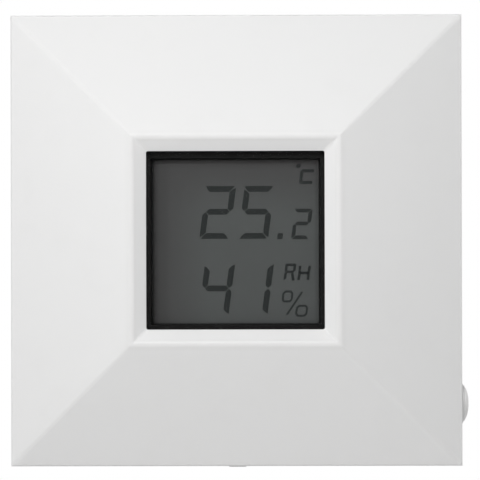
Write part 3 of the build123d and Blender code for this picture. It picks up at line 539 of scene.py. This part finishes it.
METALS = {  # dark and bright tone, roughness, stretch of the scratches, their grain, stains
    "screw_steel": (grey(0.42, 0.02), grey(0.62, 0.02), 0.24, (1, 1, 0.2), 0.3),
    "contact_steel": (grey(0.50, 0.03), grey(0.70, 0.03), 0.18, (1, 0.1, 1), 0.4),
    "shield_steel": (grey(0.48), grey(0.62), 0.26, (0.08, 1, 1), 0.5, 0.45),
    "crystal_steel": (grey(0.52), grey(0.68), 0.16, (0.1, 1, 1), 0.4, 0.2),
    "antenna_copper": ((0.42, 0.16, 0.06, 1), (0.70, 0.32, 0.14, 1), 0.22, (1, 1, 1), 0.6),
    "pad_gold": ((0.62, 0.44, 0.16, 1), (0.82, 0.62, 0.28, 1), 0.2, (1, 1, 1), 0.3, 0.15),
    "solder_tin": (grey(0.58), grey(0.74), 0.18, (1, 1, 1), 0.3, 0.25),
}
for name, look in METALS.items():
    metal(name, *look)
print(len(METALS), "metals made")

# %% [markdown]
# The can of the buffer capacitor has a black sector on its lid that marks the negative side,
# and each AAA cell wears a plastic sleeve with a coloured band at the positive end and bare
# steel at both ends. These are plain generic marks, drawn from distances in the frame.

# %% Can, cells, plunger and small parts
CAN_LOW, CAN_HIGH = (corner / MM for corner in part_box("buffer_capacitor"))
SECTOR = (CAN_LOW.z + CAN_HIGH.z) / 2 + 1.4


def capacitor_can():
    """Aluminium can on a black foot, with a black sector on its lid."""
    f = Finish("can_aluminium")
    brush = f.noise(0.4, 4.0, (0.1, 1, 1))
    foot = (f.y - CAN_LOW.y - 0.95).inside(0.0, 0.03)
    sector = (f.z - SECTOR).inside(0.0, 0.05)
    lid = (f.y - CAN_HIGH.y + 0.05).inside(0.0, 0.03)
    dark = (1 - lid) * (1 - sector)
    metal_tone = f.mix(brush, grey(0.55), grey(0.72))
    marked = f.mix(dark, metal_tone, grey(0.02))
    f.set(
        Base_Color=f.mix(foot, marked, grey(0.025)),
        Metallic=(1 - foot) * (1 - dark),
        Roughness=0.24 + brush * 0.15 + dark * 0.2,
    )
    f.bump(brush, 0.005)


BAND, NUB, BASE_RIM = 12.5, 1.5, 0.35


def cell_sleeve(name, side):
    """A cell's sleeve: dark green, a copper-coloured band near the positive nub, steel ends."""
    f = Finish(name)
    low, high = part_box(name)
    positive = (high.x if side > 0 else low.x) / MM
    negative = (low.x if side > 0 else high.x) / MM
    from_nub = (positive - f.x) * side
    from_base = (f.x - negative) * side
    band = from_nub.inside(BAND, 0.05)
    line = abs(from_nub - BAND - 0.4).inside(0.12, 0.04)
    bare = (from_nub.inside(NUB, 0.04) + from_base.inside(BASE_RIM, 0.04)).least(1.0)
    cloud, fine = f.noise(5.0, 3.0), f.noise(0.5, 3.0, (0.2, 1, 1))
    green = f.mix(cloud, (0.012, 0.055, 0.035, 1), (0.02, 0.085, 0.055, 1))
    copper = f.mix(cloud, (0.50, 0.24, 0.10, 1), (0.62, 0.32, 0.14, 1))
    wrapped = f.mix(line, f.mix(band, green, copper), grey(0.75))
    f.set(
        Base_Color=f.mix(bare, wrapped, grey(0.62, 0.02)),
        Metallic=(bare + band * 0.6).least(1.0),
        Roughness=0.22 + fine * 0.12 + cloud * 0.08,
        Coat_Weight=(1 - bare) * 0.4,
    )
    f.bump(fine, 0.006)


def plunger_grey():
    """The pale grey plastic plunger of the switch."""
    f = Finish("plunger_grey")
    cloud = f.noise(1.5, 3.0)
    f.set(Base_Color=f.mix(cloud, grey(0.32), grey(0.42)), Roughness=0.4 + cloud * 0.15)
    f.bump(f.noise(0.15, 2.0), 0.006)


def small_part_body():
    """Chip resistors and capacitors: brown or black bodies with tinned ends."""
    f = Finish("small_parts_brown")
    body = f.mix(f.z.cell(3.2).inside(0.8, 0.05), (0.26, 0.17, 0.09, 1), grey(0.03))
    far = abs(abs(f.x) - OUTER_ROW).least(abs(f.x - INNER_ROW))
    end = (0.45 - far).inside(0.0, 0.03)
    f.set(
        Base_Color=f.mix(end, body, grey(0.68, 0.01)),
        Metallic=end,
        Roughness=0.32 + f.noise(0.4, 2.0) * 0.2,
    )
    f.bump(f.noise(0.3, 3.0), 0.01)


OUTER_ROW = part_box("small_parts")[1].x / MM - 0.8
inner_row = [v.co.x / MM for v in node["small_parts"].data.vertices if abs(v.co.x) < 20 * MM]
INNER_ROW = (min(inner_row) + max(inner_row)) / 2
capacitor_can()
cell_sleeve("upper_cell", 1)
cell_sleeve("lower_cell", -1)
plunger_grey()
small_part_body()
print(len(finish), "finishes made")

# %% [markdown]
# Each node keeps its mesh and only gets its finish. The table says which one it takes. Cover,
# latch and button get it too, and pieces with a finer shape replace these three further down.

# %% Dress the nodes
WORN_BY = {
    "front_cover": "cover_white", "wall_plate": "plate_white", "release_latch": "latch_white",
    "function_button": "button_white", "display_lens": "clear_lens", "display_mask": "mask_black",
    "lcd_front_film": "film_grey", "lcd_front_glass": "display_glass",
    "lcd_rear_glass": "display_glass", "lcd_reflector": "reflector_foil",
    "lcd_frame": "holder_black", "contact_strips": "strip_rubber", "main_board": "board_green",
    "board_screws": "screw_steel", "tact_switch": "switch_black",
    "switch_plunger": "plunger_grey", "battery_holder": "holder_black",
    "upper_cell": "upper_cell", "lower_cell": "lower_cell", "bridge_contact": "contact_steel",
    "positive_contact": "contact_steel", "negative_contact": "contact_steel",
    "contact_springs": "contact_steel", "radio_board": "radio_board_blue",
    "radio_shield": "shield_steel", "antenna_wire": "antenna_copper",
    "microcontroller": "chip_black", "display_driver": "chip_black",
    "crystal": "crystal_steel", "buffer_capacitor": "can_aluminium",
    "climate_sensor": "sensor_black", "small_parts": "small_parts_brown",
}
for name, worn in WORN_BY.items():
    slots = node[name].data.materials
    if not slots:
        slots.append(None)
    for place in range(len(slots)):
        slots[place] = finish[worn]
print("dressed", len(WORN_BY), "of", len(node), "nodes")

# %% [markdown]
# The figures are made of segments, as on every such display. A segment starts as a plane, the
# middle of each short edge is added, and the three points of an end are then drawn out: both
# outer segments of a corner get a mitre, and the ends that meet half way up get a point. The
# shape is pushed out to a plate three hundredths of a millimetre thick. Each figure is built
# upright, joined, leaned over with one matrix and laid on the film.

# %% A segment
def leave_edit():
    bpy.ops.object.mode_set(mode="OBJECT")


def clear_selection():
    """Leaves edit mode and selects nothing."""
    if bpy.context.object and bpy.context.object.mode != "OBJECT":
        leave_edit()
    bpy.ops.object.select_all(action="DESELECT")


def pick(obj, mode, keep):
    """Enters edit mode with only the wanted vertices, edges or faces selected."""
    clear_selection()
    bpy.context.view_layer.objects.active = obj
    obj.select_set(True)
    for parts in (obj.data.vertices, obj.data.edges, obj.data.polygons):
        for part in parts:
            part.select = False
    chosen = {"VERT": obj.data.vertices, "EDGE": obj.data.edges, "FACE": obj.data.polygons}[mode]
    for part in chosen:
        part.select = keep(part)
    bpy.ops.object.mode_set(mode="EDIT")
    bpy.ops.mesh.select_mode(type=mode)


def apply_place():
    """Puts the active object's place, turn and scale into its mesh."""
    bpy.ops.object.transform_apply(location=True, rotation=True, scale=True)


def close_up():
    """Turns all faces outwards and leaves edit mode."""
    bpy.ops.mesh.select_all(action="SELECT")
    bpy.ops.mesh.normals_make_consistent(inside=False)
    leave_edit()


def at(x, y, z):
    """A matrix that moves a mesh to a place in millimetres."""
    return Matrix.Translation(Vector((x, y, z)) * MM)


ENDS = {
    "m": (0, 0.5, 0.8), "p": (0, 0.5, 0), "b": (0, 0, 0), "f": (1, 1, 1), "o": (0.3, 0.5, 0.7),
}


def segment(name, reach, width, thick, ends="bb"):
    """A flat bar along X, facing -Y, in millimetres. The letters in `ends` are its left and its
    right end: mitred towards +Z, pointed, butt, full, or mitred for half a corner."""
    reach, width, thick = reach * MM, width * MM, thick * MM
    clear_selection()
    bpy.ops.mesh.primitive_plane_add(size=1, rotation=(pi / 2, 0, 0))
    made = bpy.context.object
    made.name = made.data.name = name
    made.scale = (2 * reach - width, width, 1)
    apply_place()
    near = width * 0.01

    def at_end(edge):
        xs = [made.data.vertices[v].co.x for v in edge.vertices]
        return abs(xs[0] - xs[1]) < near

    if ends != "bb":
        pick(made, "EDGE", at_end)
        bpy.ops.mesh.subdivide(number_cuts=1)
        leave_edit()
    for side, end in zip((-1, 1), ends):
        for level, share in zip((-0.5, 0, 0.5), ENDS[end]):
            if share:
                pick(made, "VERT", lambda v: v.co.x * side > 0 and abs(v.co.z - level * width) < near)
                bpy.ops.transform.translate(value=(side * share * width, 0, 0))
                leave_edit()
    pick(made, "FACE", lambda f: True)
    bpy.ops.mesh.extrude_region_move(TRANSFORM_OT_translate={"value": (0, -thick, 0)})
    close_up()
    return made


def stroke_between(name, first, last, width, thick, longer=0.0, ends="bb"):
    """A segment between two points (x, z), longer by the same amount at both."""
    way, spot = Vector(last) - Vector(first), (Vector(first) + Vector(last)) / 2
    made = segment(name, way.length / 2 + longer, width, thick, ends)
    made.data.transform(at(spot.x, 0, spot.y) @ Matrix.Rotation(-atan2(way.y, way.x), 4, "Y"))
    return made


def copy_of(pattern, name, matrix):
    """A copy with its own mesh, moved by a matrix that is put in the mesh."""
    made = pattern.copy()
    made.data = pattern.data.copy()
    made.name = made.data.name = name
    bpy.context.scene.collection.objects.link(made)
    made.data.transform(matrix)
    return made


def joined(name, pieces):
    """Several meshes made into one piece."""
    clear_selection()
    for piece in pieces:
        piece.select_set(True)
    bpy.context.view_layer.objects.active = pieces[0]
    if len(pieces) > 1:
        bpy.ops.object.join()
    made = bpy.context.object
    made.name = made.data.name = name
    return made

# %% [markdown]
# A figure is a list of lit segments, lettered a to g as on any data sheet: a is the top, then
# clockwise, and g the middle one. Each runs clockwise too, so that its outer side is always on
# its left, which is where the mitre goes. Letters and the percent sign have a few strokes of
# their own, given by their two ends in the figure's box, from -1 to 1 on each axis.

# %% Figures
LEAN = tan(radians(7.5))
INK_DEPTH = 0.03
WAIST = 0.03  # the middle segment stands a little above the middle
SEGMENTS = {
    "a": ((-1.14, 1), (1, 1), "mm"),
    "b": ((1, 1), (1, WAIST), "mp"), "c": ((1, WAIST), (1, -1), "pm"),
    "d": ((1, -1), (-1, -1), "mm"),
    "e": ((-1, -1), (-1, WAIST), "mp"), "f": ((-1, WAIST), (-1, 0.92), "pm"),
    "g": ((-1, WAIST), (1, WAIST), "pp"),
}
LIT = {"2": "abged", "5": "afgcd", "4": "fgbc", "1": "bc"}
CHAMFERED = [
    (-0.6, 1), (0.6, 1), (1, 0.6), (1, -0.6), (0.6, -1), (-0.6, -1), (-1, -0.6), (-1, 0.6),
]
STROKES = {
    "C": [((-1, 1), (1, 1), "mb"), ((-1, -1), (-1, 1), "mm"), ((1, -1), (-1, -1), "bm")],
    "H": [
        ((-1, 1), (-0.85, 0), "bf"), ((1, 1), (0.85, 0), "bf"), ((-0.85, 0), (0.85, 0), "bb"),
        ((-0.85, 0), (-0.95, -1), "fb"), ((0.85, 0), (0.95, -1), "fb"),
    ],
    "R": [
        SEGMENTS["b"], SEGMENTS["e"], SEGMENTS["g"], ((-1, 0), (-1, 1), "pm"), ((-1, 1), (1, 1), "mm"),
        ((0.5, 0), (1, -1), "bf"),
    ],
    "o": [(a, b, "oo") for a, b in zip(CHAMFERED, CHAMFERED[1:] + CHAMFERED[:1])],
    "/": [((-1, -1), (1, 1), "ff")],
    ".": [((0, -1), (0, 1), "bb")],
}


def figure(name, sign, middle, size, stroke, gap=0.0):
    """One figure in millimetres: `size` is the width and height between stroke centres."""
    lines = [SEGMENTS[s] for s in LIT[sign]] if sign in LIT else STROKES[sign]
    pieces = []
    half_size = Vector(size) / 2
    for order, (start, end, ends) in enumerate(lines):
        first, last = Vector(start) * half_size, Vector(end) * half_size
        label = f"{name}_{order}"
        pieces.append(stroke_between(label, first, last, stroke, INK_DEPTH, -gap / 2, ends))
    made = joined(name, pieces)
    lean = Matrix.Identity(4)
    lean[0][2] = LEAN
    made.data.transform(at(middle[0], -FILM_FACE, middle[1]) @ lean)
    return made


LARGE, SMALL = (4.30, 8.28), (2.48, 4.72)
UPPER_LINE, LOWER_LINE = 4.91, -8.60  # middle height of the two lines of figures
figures = [
    figure("figure_25_two", "2", (-3.16, UPPER_LINE), LARGE, 1.03, 0.14),
    figure("figure_25_five", "5", (3.66, UPPER_LINE), LARGE, 1.03, 0.14),
    figure("figure_tenth_two", "2", (11.67, UPPER_LINE - 2.05), SMALL, 0.66, 0.1),
    figure("decimal_point", ".", (7.82, UPPER_LINE - 4.20), (0, 2.0), 0.95),
    figure("degree_ring", "o", (11.08, 13.10), (0.46, 0.44), 0.26),
    figure("letter_c", "C", (12.79, 11.19), (2.40, 2.05), 0.56, 0.06),
    figure("figure_41_four", "4", (-3.36, LOWER_LINE), LARGE, 1.03, 0.14),
    figure("figure_41_one", "1", (3.50, LOWER_LINE), LARGE, 1.03, 0.14),
    figure("letter_r", "R", (9.54, LOWER_LINE + 2.98), (1.46, 2.55), 0.46),
    figure("letter_h", "H", (12.03, LOWER_LINE + 2.82), (1.80, 2.95), 0.46),
    figure("percent_upper", "o", (9.11, LOWER_LINE - 1.32), (1.56, 1.75), 0.38),
    figure("percent_lower", "o", (11.59, LOWER_LINE - 3.85), (1.80, 1.75), 0.38),
    figure("percent_slash", "/", (10.33, LOWER_LINE - 2.53), (2.0, 3.7), 0.38),
]
print(len(figures), "figures made,", sum(len(f.data.polygons) for f in figures), "faces")

# %% [markdown]
# The liquid crystal turns almost black where it is driven, with the film's green cast left in
# it. Its edge is slightly soft on the real glass, which the roughness and a faint cloud suggest.
# The thin strokes of the percent sign look paler than the figures.

# %% Ink of the figures
def clouded(name, grain, dark, pale, rough, vary, depth, shine=0.5):
    """A plain material whose tone, gloss and relief drift together."""
    f = Finish(name)
    cloud = f.noise(grain, 3.0)
    tone = f.mix(cloud, dark, pale)
    f.set(Base_Color=tone, Roughness=rough + cloud * vary, Specular_IOR_Level=shine)
    f.bump(cloud, depth)


INK_DARK, INK_PALE = (0.020, 0.023, 0.023), (0.026, 0.030, 0.029)
for name, lift in (("segment_dark", 1.0), ("segment_thin", 1.3)):
    clouded(name, 1.2, scaled(INK_DARK, lift), scaled(INK_PALE, lift), 0.45, 0.1, 0.002, 0.1)
for made in figures:
    thin = made.name.startswith(("percent", "degree"))
    made.data.materials.append(finish["segment_thin" if thin else "segment_dark"])
    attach(made, "front_unit")
print("figures ride on front_unit")

# %% [markdown]
# With the cover swung out, the rear of the board is what a user sees besides the cells. White
# print marks the parts and the poles of the cells, and gold-plated pads are for testing. Print
# is a lacquer only a few hundredths of a millimetre thick, so thin plates stand for it.

# %% Board print
PRINT = 0.03  # thickness of the lacquer
FRAME_STROKE, SIGN_STROKE = 0.16, 0.35
SIGN_REACH = 1.0  # half the length of a sign's strokes


def print_on_board(name, lines, width, longer):
    """White strokes on the rear of the board, each given by its two ends."""
    made = joined(name, [
        stroke_between(f"{name}_{n}", first, last, width, PRINT, longer)
        for n, (first, last) in enumerate(lines)
    ])
    made.data.transform(at(0, PRINT - BOARD_REAR, 0))
    return made


def outline_of(part, margin):
    """The four sides of a frame round a part."""
    low, high = (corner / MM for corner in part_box(part))
    left, right, bottom, top = low.x - margin, high.x + margin, low.z - margin, high.z + margin
    corners = [(left, bottom), (right, bottom), (right, top), (left, top)]
    return list(zip(corners, corners[1:] + corners[:1]))


printed = []
for part in ("microcontroller", "display_driver", "buffer_capacitor", "crystal", "radio_board"):
    lines = outline_of(part, 0.2 if part == "crystal" else 0.4)
    printed.append(print_on_board(f"print_{part}", lines, FRAME_STROKE, FRAME_STROKE))
sign_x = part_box("battery_holder")[1].x / MM + 3.2
for name, z in (("print_plus", 5.7), ("print_minus", -5.7)):
    lines = [((sign_x - SIGN_REACH, z), (sign_x + SIGN_REACH, z))]
    if name == "print_plus":
        lines.append(((sign_x, z - SIGN_REACH), (sign_x, z + SIGN_REACH)))
    printed.append(print_on_board(name, lines, SIGN_STROKE, SIGN_STROKE / 2))
print(len(printed), "printed marks")

# %% [markdown]
# A test pad is a disc with a slight rim, gold plated. It is a cylinder whose front face is
# inset and pressed in, made once and copied to each place, with all copies in one piece.

# %% Test pads
PAD_R, PAD_DEPTH = 0.6, 0.05
PAD_ROWS = [  # first x, z, pitch and number of pads
    (-29.0, 22.5, 2.2, 2), (5.0, 27.2, 2.2, 4), (-21.5, -29.4, 2.4, 3),
]


def test_pad():
    """One gold pad, facing the wall, with its middle at the origin."""
    clear_selection()
    bpy.ops.mesh.primitive_cylinder_add(
        vertices=24, radius=PAD_R * MM, depth=PAD_DEPTH * MM, rotation=(pi / 2, 0, 0)
    )
    made = bpy.context.object
    apply_place()
    pick(made, "FACE", lambda f: f.normal.y > 0.9)
    bpy.ops.mesh.inset(thickness=0.12 * MM, depth=-0.015 * MM)
    leave_edit()
    return made


pad = test_pad()
places = [(x + pitch * n, z) for x, z, pitch, count in PAD_ROWS for n in range(count)]
pads = [
    copy_of(pad, f"pad_{n}", at(x, PAD_DEPTH / 2 - BOARD_REAR, z))
    for n, (x, z) in enumerate(places)
]
bpy.data.objects.remove(pad)
test_pads = joined("test_pads", pads)
print(len(places), "test pads")

# %% [markdown]
# On the real cover the crest isn't flat. Facet and bevel meet in one round, and its tone runs
# evenly from the one to the other. The corners of the outline are almost sharp. CAD has a flat
# crest and rounder corners, so a merged copy of its mesh is reshaped: the crest is cut along
# lines beside the window, whose points are then set on an arc that touches the facet, the bevel
# and the crest's height. At the corners, each point is drawn out from the middle of the CAD
# round, most of all on the diagonal. Both are moves of many points by a rule, so a short loop
# does them.

# %% A copy to reshape
def own_copy(part, name):
    """A CAD node's mesh as a piece of its own, with its loose triangles merged."""
    made = bpy.data.objects.new(name, node[part].data.copy())
    made.data.name = name
    bpy.context.scene.collection.objects.link(made)
    pick(made, "FACE", lambda f: True)
    bpy.ops.mesh.customdata_custom_splitnormals_clear()
    bpy.ops.mesh.remove_doubles(threshold=0.0005 * MM)
    leave_edit()
    return made


def smoothed(made, angle):
    """Smooth shading across small faces, while large flat ones keep their own normal."""
    clear_selection()
    bpy.context.view_layer.objects.active = made
    made.select_set(True)
    bpy.ops.object.shade_smooth_by_angle(angle=radians(angle))
    weighted = made.modifiers.new("weighted", "WEIGHTED_NORMAL")
    weighted.keep_sharp = True
    bpy.ops.object.modifier_apply(modifier=weighted.name)

# %% Round crest and sharp corners
FLAT_IN, FLAT_OUT = 17.78, 18.57  # the CAD crest, from the middle of the cover
FACET, BEVEL = radians(24), radians(42)
ARC, CUTS = 1.33, 8
ridge = (tan(FACET) * FLAT_OUT + tan(BEVEL) * FLAT_IN) / (tan(FACET) + tan(BEVEL))
ridge_depth = CREST + tan(BEVEL) * (ridge - FLAT_IN)
to_centre, tilt = ARC / cos((BEVEL + FACET) / 2), (BEVEL - FACET) / 2
arc_reach, arc_depth = ridge + to_centre * sin(tilt), ridge_depth - to_centre * cos(tilt)
lines = [arc_reach + ARC * sin(-BEVEL + (BEVEL + FACET) * n / CUTS) for n in range(CUTS + 1)]
NEAR_CREST = CREST - 0.7  # faces are cut only if they come this far forward
CORNER_MIDDLE, DRAWN = 38.85, 0.65  # middle of the CAD round, and how square it gets


def round_crest(cover):
    """Cuts the crest along the lines and sets its points on the arc."""
    points = cover.data.vertices

    def on_crest(face):
        return face.normal.y < -0.5 and any(points[v].co.y < -NEAR_CREST * MM for v in face.vertices)

    for line in lines:
        for way in ((1, 0, 0), (-1, 0, 0), (0, 0, 1), (0, 0, -1)):
            pick(cover, "FACE", on_crest)
            bpy.ops.mesh.bisect(plane_co=Vector(way) * line * MM, plane_no=way)
            leave_edit()
    for vertex in cover.data.vertices:
        reach = max(abs(vertex.co.x), abs(vertex.co.z)) / MM
        if vertex.co.y < (0.1 - NEAR_CREST) * MM and lines[0] - 0.01 < reach < lines[-1] + 0.01:
            rise = max(ARC**2 - (reach - arc_reach)**2, 0) ** 0.5
            vertex.co.y = -(arc_depth + rise) * MM


def sharpen_corners(cover):
    """Draws the four round corners of the outline out to nearly square ones."""
    for vertex in cover.data.vertices:
        across, up = (abs(c) / MM - CORNER_MIDDLE for c in (vertex.co.x, vertex.co.z))
        if across > 0 and up > 0:
            farther = max(across, up)
            share = DRAWN * ((across**2 + up**2) ** 0.5 / farther - 1)
            for axis, beyond in ((0, across), (2, up)):
                drawn = min(CORNER_MIDDLE + beyond * (1 + share), HALF) * MM
                vertex.co[axis] = drawn if vertex.co[axis] > 0 else -drawn
            on_facet = min(max((-vertex.co.y / MM - SHOULDER + 0.2) / 0.5, 0), 1)
            vertex.co.y += share * farther * tan(FACET) * on_facet * MM


cover = own_copy("front_cover", "cover_crested")
round_crest(cover)
sharpen_corners(cover)
smoothed(cover, 30)
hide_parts("front_cover")
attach(cover, "front_unit")
print("cover with", len(cover.data.polygons), "faces, arc centred at", round(arc_reach, 2))

# %% [markdown]
# The finger tab of the latch shows as a sliver under the cover, a little shorter than the CAD
# tab, so the last points of a copy are moved up.

# %% Finger tab
TRIMMED = 0.18
latch = own_copy("release_latch", "latch_trimmed")
pick(latch, "VERT", lambda v: v.co.z < (TAB_END + 0.35) * MM)
bpy.ops.transform.translate(value=(0, 0, TRIMMED * MM))
leave_edit()
smoothed(latch, 30)
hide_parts("release_latch")
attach(latch, "latch")
print("tab ends at", round(min(v.co.z for v in latch.data.vertices) / MM, 2))

# %% [markdown]
# In the photograph the button is a low dome with a fine dark groove near its rim. The CAD
# button has one plain outline, so this piece stands for it: a disc that is drawn out along X in
# steps, each of which is scaled to the radius wanted there. It keeps the CAD button's stem,
# flange and radii. Only the groove is new, and the dome, which starts closer to the side wall
# and ends a quarter of a millimetre lower.

# %% Button with its groove
def turned_piece(name, outline, centre):
    """A round piece along X, from its outline of (x, radius)."""
    clear_selection()
    start, radius = outline[0]
    bpy.ops.mesh.primitive_circle_add(
        vertices=96, radius=radius * MM, fill_type="NGON", rotation=(0, pi / 2, 0),
        location=Vector((start, centre.y, centre.z)) * MM,
    )
    made = bpy.context.object
    made.name = made.data.name = name
    apply_place()
    pick(made, "FACE", lambda f: True)
    for x, wanted in outline[1:]:
        bpy.ops.mesh.extrude_region_move(
            TRANSFORM_OT_translate={"value": ((x - start) * MM, 0, 0)}
        )
        share = wanted / radius
        middle = Vector((x, centre.y, centre.z)) * MM
        bpy.ops.transform.resize(value=(1, share, share), center_override=middle)
        start, radius = x, wanted
    bpy.ops.mesh.select_all(action="SELECT")
    bpy.ops.mesh.remove_doubles(threshold=0.001 * MM)
    close_up()
    bpy.ops.object.shade_smooth_by_angle(angle=radians(30))
    return made


low, high = (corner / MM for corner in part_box("function_button"))
STEM_R, FLANGE_R = 2.0, (high.z - low.z) / 2
CAP_R = FLANGE_R - 0.5
FLANGE_REAR, FLANGE_FRONT, RIM = HALF - 3.5, HALF - 2.1, HALF + 0.18
RISE, FULLNESS = high.x - 0.25 - RIM, 2.6
GROOVE_OUT, GROOVE_IN = 0.955, 0.9  # as shares of the radius
GROOVE_DEPTH, GROOVE_SLANT = 0.11, radians(30)


def dome(share, sunk=0.0):
    """A point of the domed face at a share of its radius, `sunk` below the surface."""
    x = RIM + RISE * (1 - share**FULLNESS) - sunk * cos(GROOVE_SLANT)
    return x, CAP_R * share - sunk * sin(GROOVE_SLANT)


outline = [
    (low.x, STEM_R), (FLANGE_REAR, STEM_R), (FLANGE_REAR, FLANGE_R), (FLANGE_FRONT, FLANGE_R),
    (FLANGE_FRONT, CAP_R), dome(1.0), dome(GROOVE_OUT), dome(GROOVE_OUT, GROOVE_DEPTH),
    dome(GROOVE_IN, GROOVE_DEPTH), dome(GROOVE_IN),
]
outline += [dome(0.8 - 0.1 * n) for n in range(8)]
button = turned_piece("button_grooved", outline, CAP)
button.data.materials.append(finish["button_white"])
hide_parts("function_button")
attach(button, "button")
print("button in", len(outline), "steps,", len(button.data.polygons), "faces")

# %% [markdown]
# Solder climbs every lead in a small shiny fillet. One drop is a sphere flattened to a lens and
# cut off at the board, and copies of it go to the end of each lead of the two chips. The chips'
# boxes say how far out the leads reach.

# %% Solder
DROP_R, DROP_SHAPE = 0.34, (0.75, 0.7, 1.25)


def solder_drop():
    """A low drop, sitting on the plane y = 0 and rising towards +Y."""
    clear_selection()
    bpy.ops.mesh.primitive_uv_sphere_add(segments=12, ring_count=8, radius=DROP_R * MM)
    made = bpy.context.object
    made.scale = DROP_SHAPE
    apply_place()
    pick(made, "FACE", lambda f: True)
    bpy.ops.mesh.bisect(plane_co=(0, 0, 0), plane_no=(0, 1, 0), clear_inner=True, use_fill=True)
    close_up()
    return made


def lead_ends(part, count, pitch, both_ways):
    """Where the leads of a chip end, as x, z and turn."""
    low, high = (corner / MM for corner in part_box(part))
    x, z = (low.x + high.x) / 2, (low.z + high.z) / 2
    ends = []
    for order in range(count):
        shift = pitch * (order - (count - 1) / 2)
        ends += [(x + shift, low.z, 0), (x + shift, high.z, 0)]
        if both_ways:
            ends += [(low.x, z + shift, 90), (high.x, z + shift, 90)]
    return ends


drop = solder_drop()
ends = lead_ends("microcontroller", count=8, pitch=0.8, both_ways=True)
ends += lead_ends("display_driver", count=9, pitch=1.2, both_ways=False)
drops = [
    copy_of(drop, f"drop_{n}", at(x, -BOARD_REAR, z) @ Matrix.Rotation(radians(angle), 4, "Y"))
    for n, (x, z, angle) in enumerate(ends)
]
bpy.data.objects.remove(drop)
solder = joined("solder_joints", drops)
bpy.ops.object.shade_smooth_by_angle(angle=radians(50))
print(len(ends), "solder joints")

# %% Dress print, pads and solder
clouded("print_white", 0.6, grey(0.60), grey(0.78), 0.55, 0.15, 0.004)
worn_by_marks = [(mark, "print_white") for mark in printed]
for made, worn in worn_by_marks + [(test_pads, "pad_gold"), (solder, "solder_tin")]:
    made.data.materials.append(finish[worn])
    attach(made, "front_unit")
print("print, pads and solder ride on front_unit")

# %% [markdown]
# The photograph has a plain white ground and no shadow in view. A soft lamp stands close, a
# little left of the camera and above it, so that the upper facet is the lightest. Another one,
# farther away at the left, lights the left facet. One at the right, a little behind the slope
# of the right facet, lights the button and the side wall, and keeps the rear readable. The
# floor throws light up at the lower facet. The world is white to the camera, in reflections and
# through clear parts, and gives an even level to everything else. The floor shines for the
# camera alone, more so far away, so that it turns white where the object's shadow ends.

# %% Floor
FLOOR_WIDTH, FLOOR_HEIGHT = 1.9, -0.1  # in metres, like the lamps' places
clear_selection()
bpy.ops.mesh.primitive_plane_add(size=FLOOR_WIDTH, location=(0, -0.1, FLOOR_HEIGHT))
floor = bpy.context.object
floor.name = "floor"
apply_place()
f = Finish("floor_pale")
f.set(
    Base_Color=f.mix(f.noise(180.0, 2.0), grey(0.80, 0.004), grey(0.83, 0.004)),
    Roughness=0.85,
    Specular_IOR_Level=0.1,
)
distance = hypotenuse(f.x, f.y)
seen = Value(f, f.node("ShaderNodeLightPath", {}).outputs["Is Camera Ray"])
shine = 0.40 + (1 - distance.inside(450.0, 250.0)) * 0.5
glow = f.node("ShaderNodeEmission", {}, grey(1.0), seen * shine)
both = f.node("ShaderNodeAddShader", {}, f.shader.outputs[0], glow.outputs[0])
f.feed(f.tree.nodes["Material Output"].inputs["Surface"], both.outputs[0])
floor.data.materials.append(f.material)
print("floor at", round(floor.data.vertices[0].co.z, 3))

# %% Lamps
MIDDLE = Vector((0, -0.02, 0))  # the place that all lamps face, in metres
LAMPS = {  # place and size in metres, and watts
    "key_lamp": ((-0.022, -0.262, 0.145), 0.08, 0.384),
    "left_lamp": ((-0.45, -0.40, 0.08), 0.08, 0.47),
    "side_lamp": ((0.60, 0.26, 0.12), 0.20, 0.9),
}
for name, (place, size, watts) in LAMPS.items():
    data = bpy.data.lights.new(name, "AREA")
    data.size, data.energy = size, watts
    lamp = bpy.data.objects.new(name, data)
    bpy.context.scene.collection.objects.link(lamp)
    facing = (Vector(place) - MIDDLE).to_track_quat("Z", "Y")
    lamp.matrix_world = Matrix.LocRotScale(Vector(place), facing, None)
print("lamps:", sorted(LAMPS))

# %% World
world = bpy.data.worlds.new("white_ground")
world.use_nodes = True
bpy.context.scene.world = world
tree = world.node_tree
ground = tree.nodes["Background"]
ground.inputs["Color"].default_value = (1, 1, 1, 1)
LEVEL = 0.330
path = tree.nodes.new("ShaderNodeLightPath")
shown = path.outputs["Is Camera Ray"]
for ray in ("Is Glossy Ray", "Is Transmission Ray"):
    either = tree.nodes.new("ShaderNodeMath")
    either.operation = "MAXIMUM"
    tree.links.new(shown, either.inputs[0])
    tree.links.new(path.outputs[ray], either.inputs[1])
    shown = either.outputs[0]
strength = tree.nodes.new("ShaderNodeMapRange")
strength.inputs["To Min"].default_value = LEVEL
strength.inputs["To Max"].default_value = 1.0
tree.links.new(shown, strength.inputs["Value"])
tree.links.new(strength.outputs[0], ground.inputs["Strength"])
bpy.context.scene.view_settings.view_transform = "Standard"
print("world level", LEVEL)
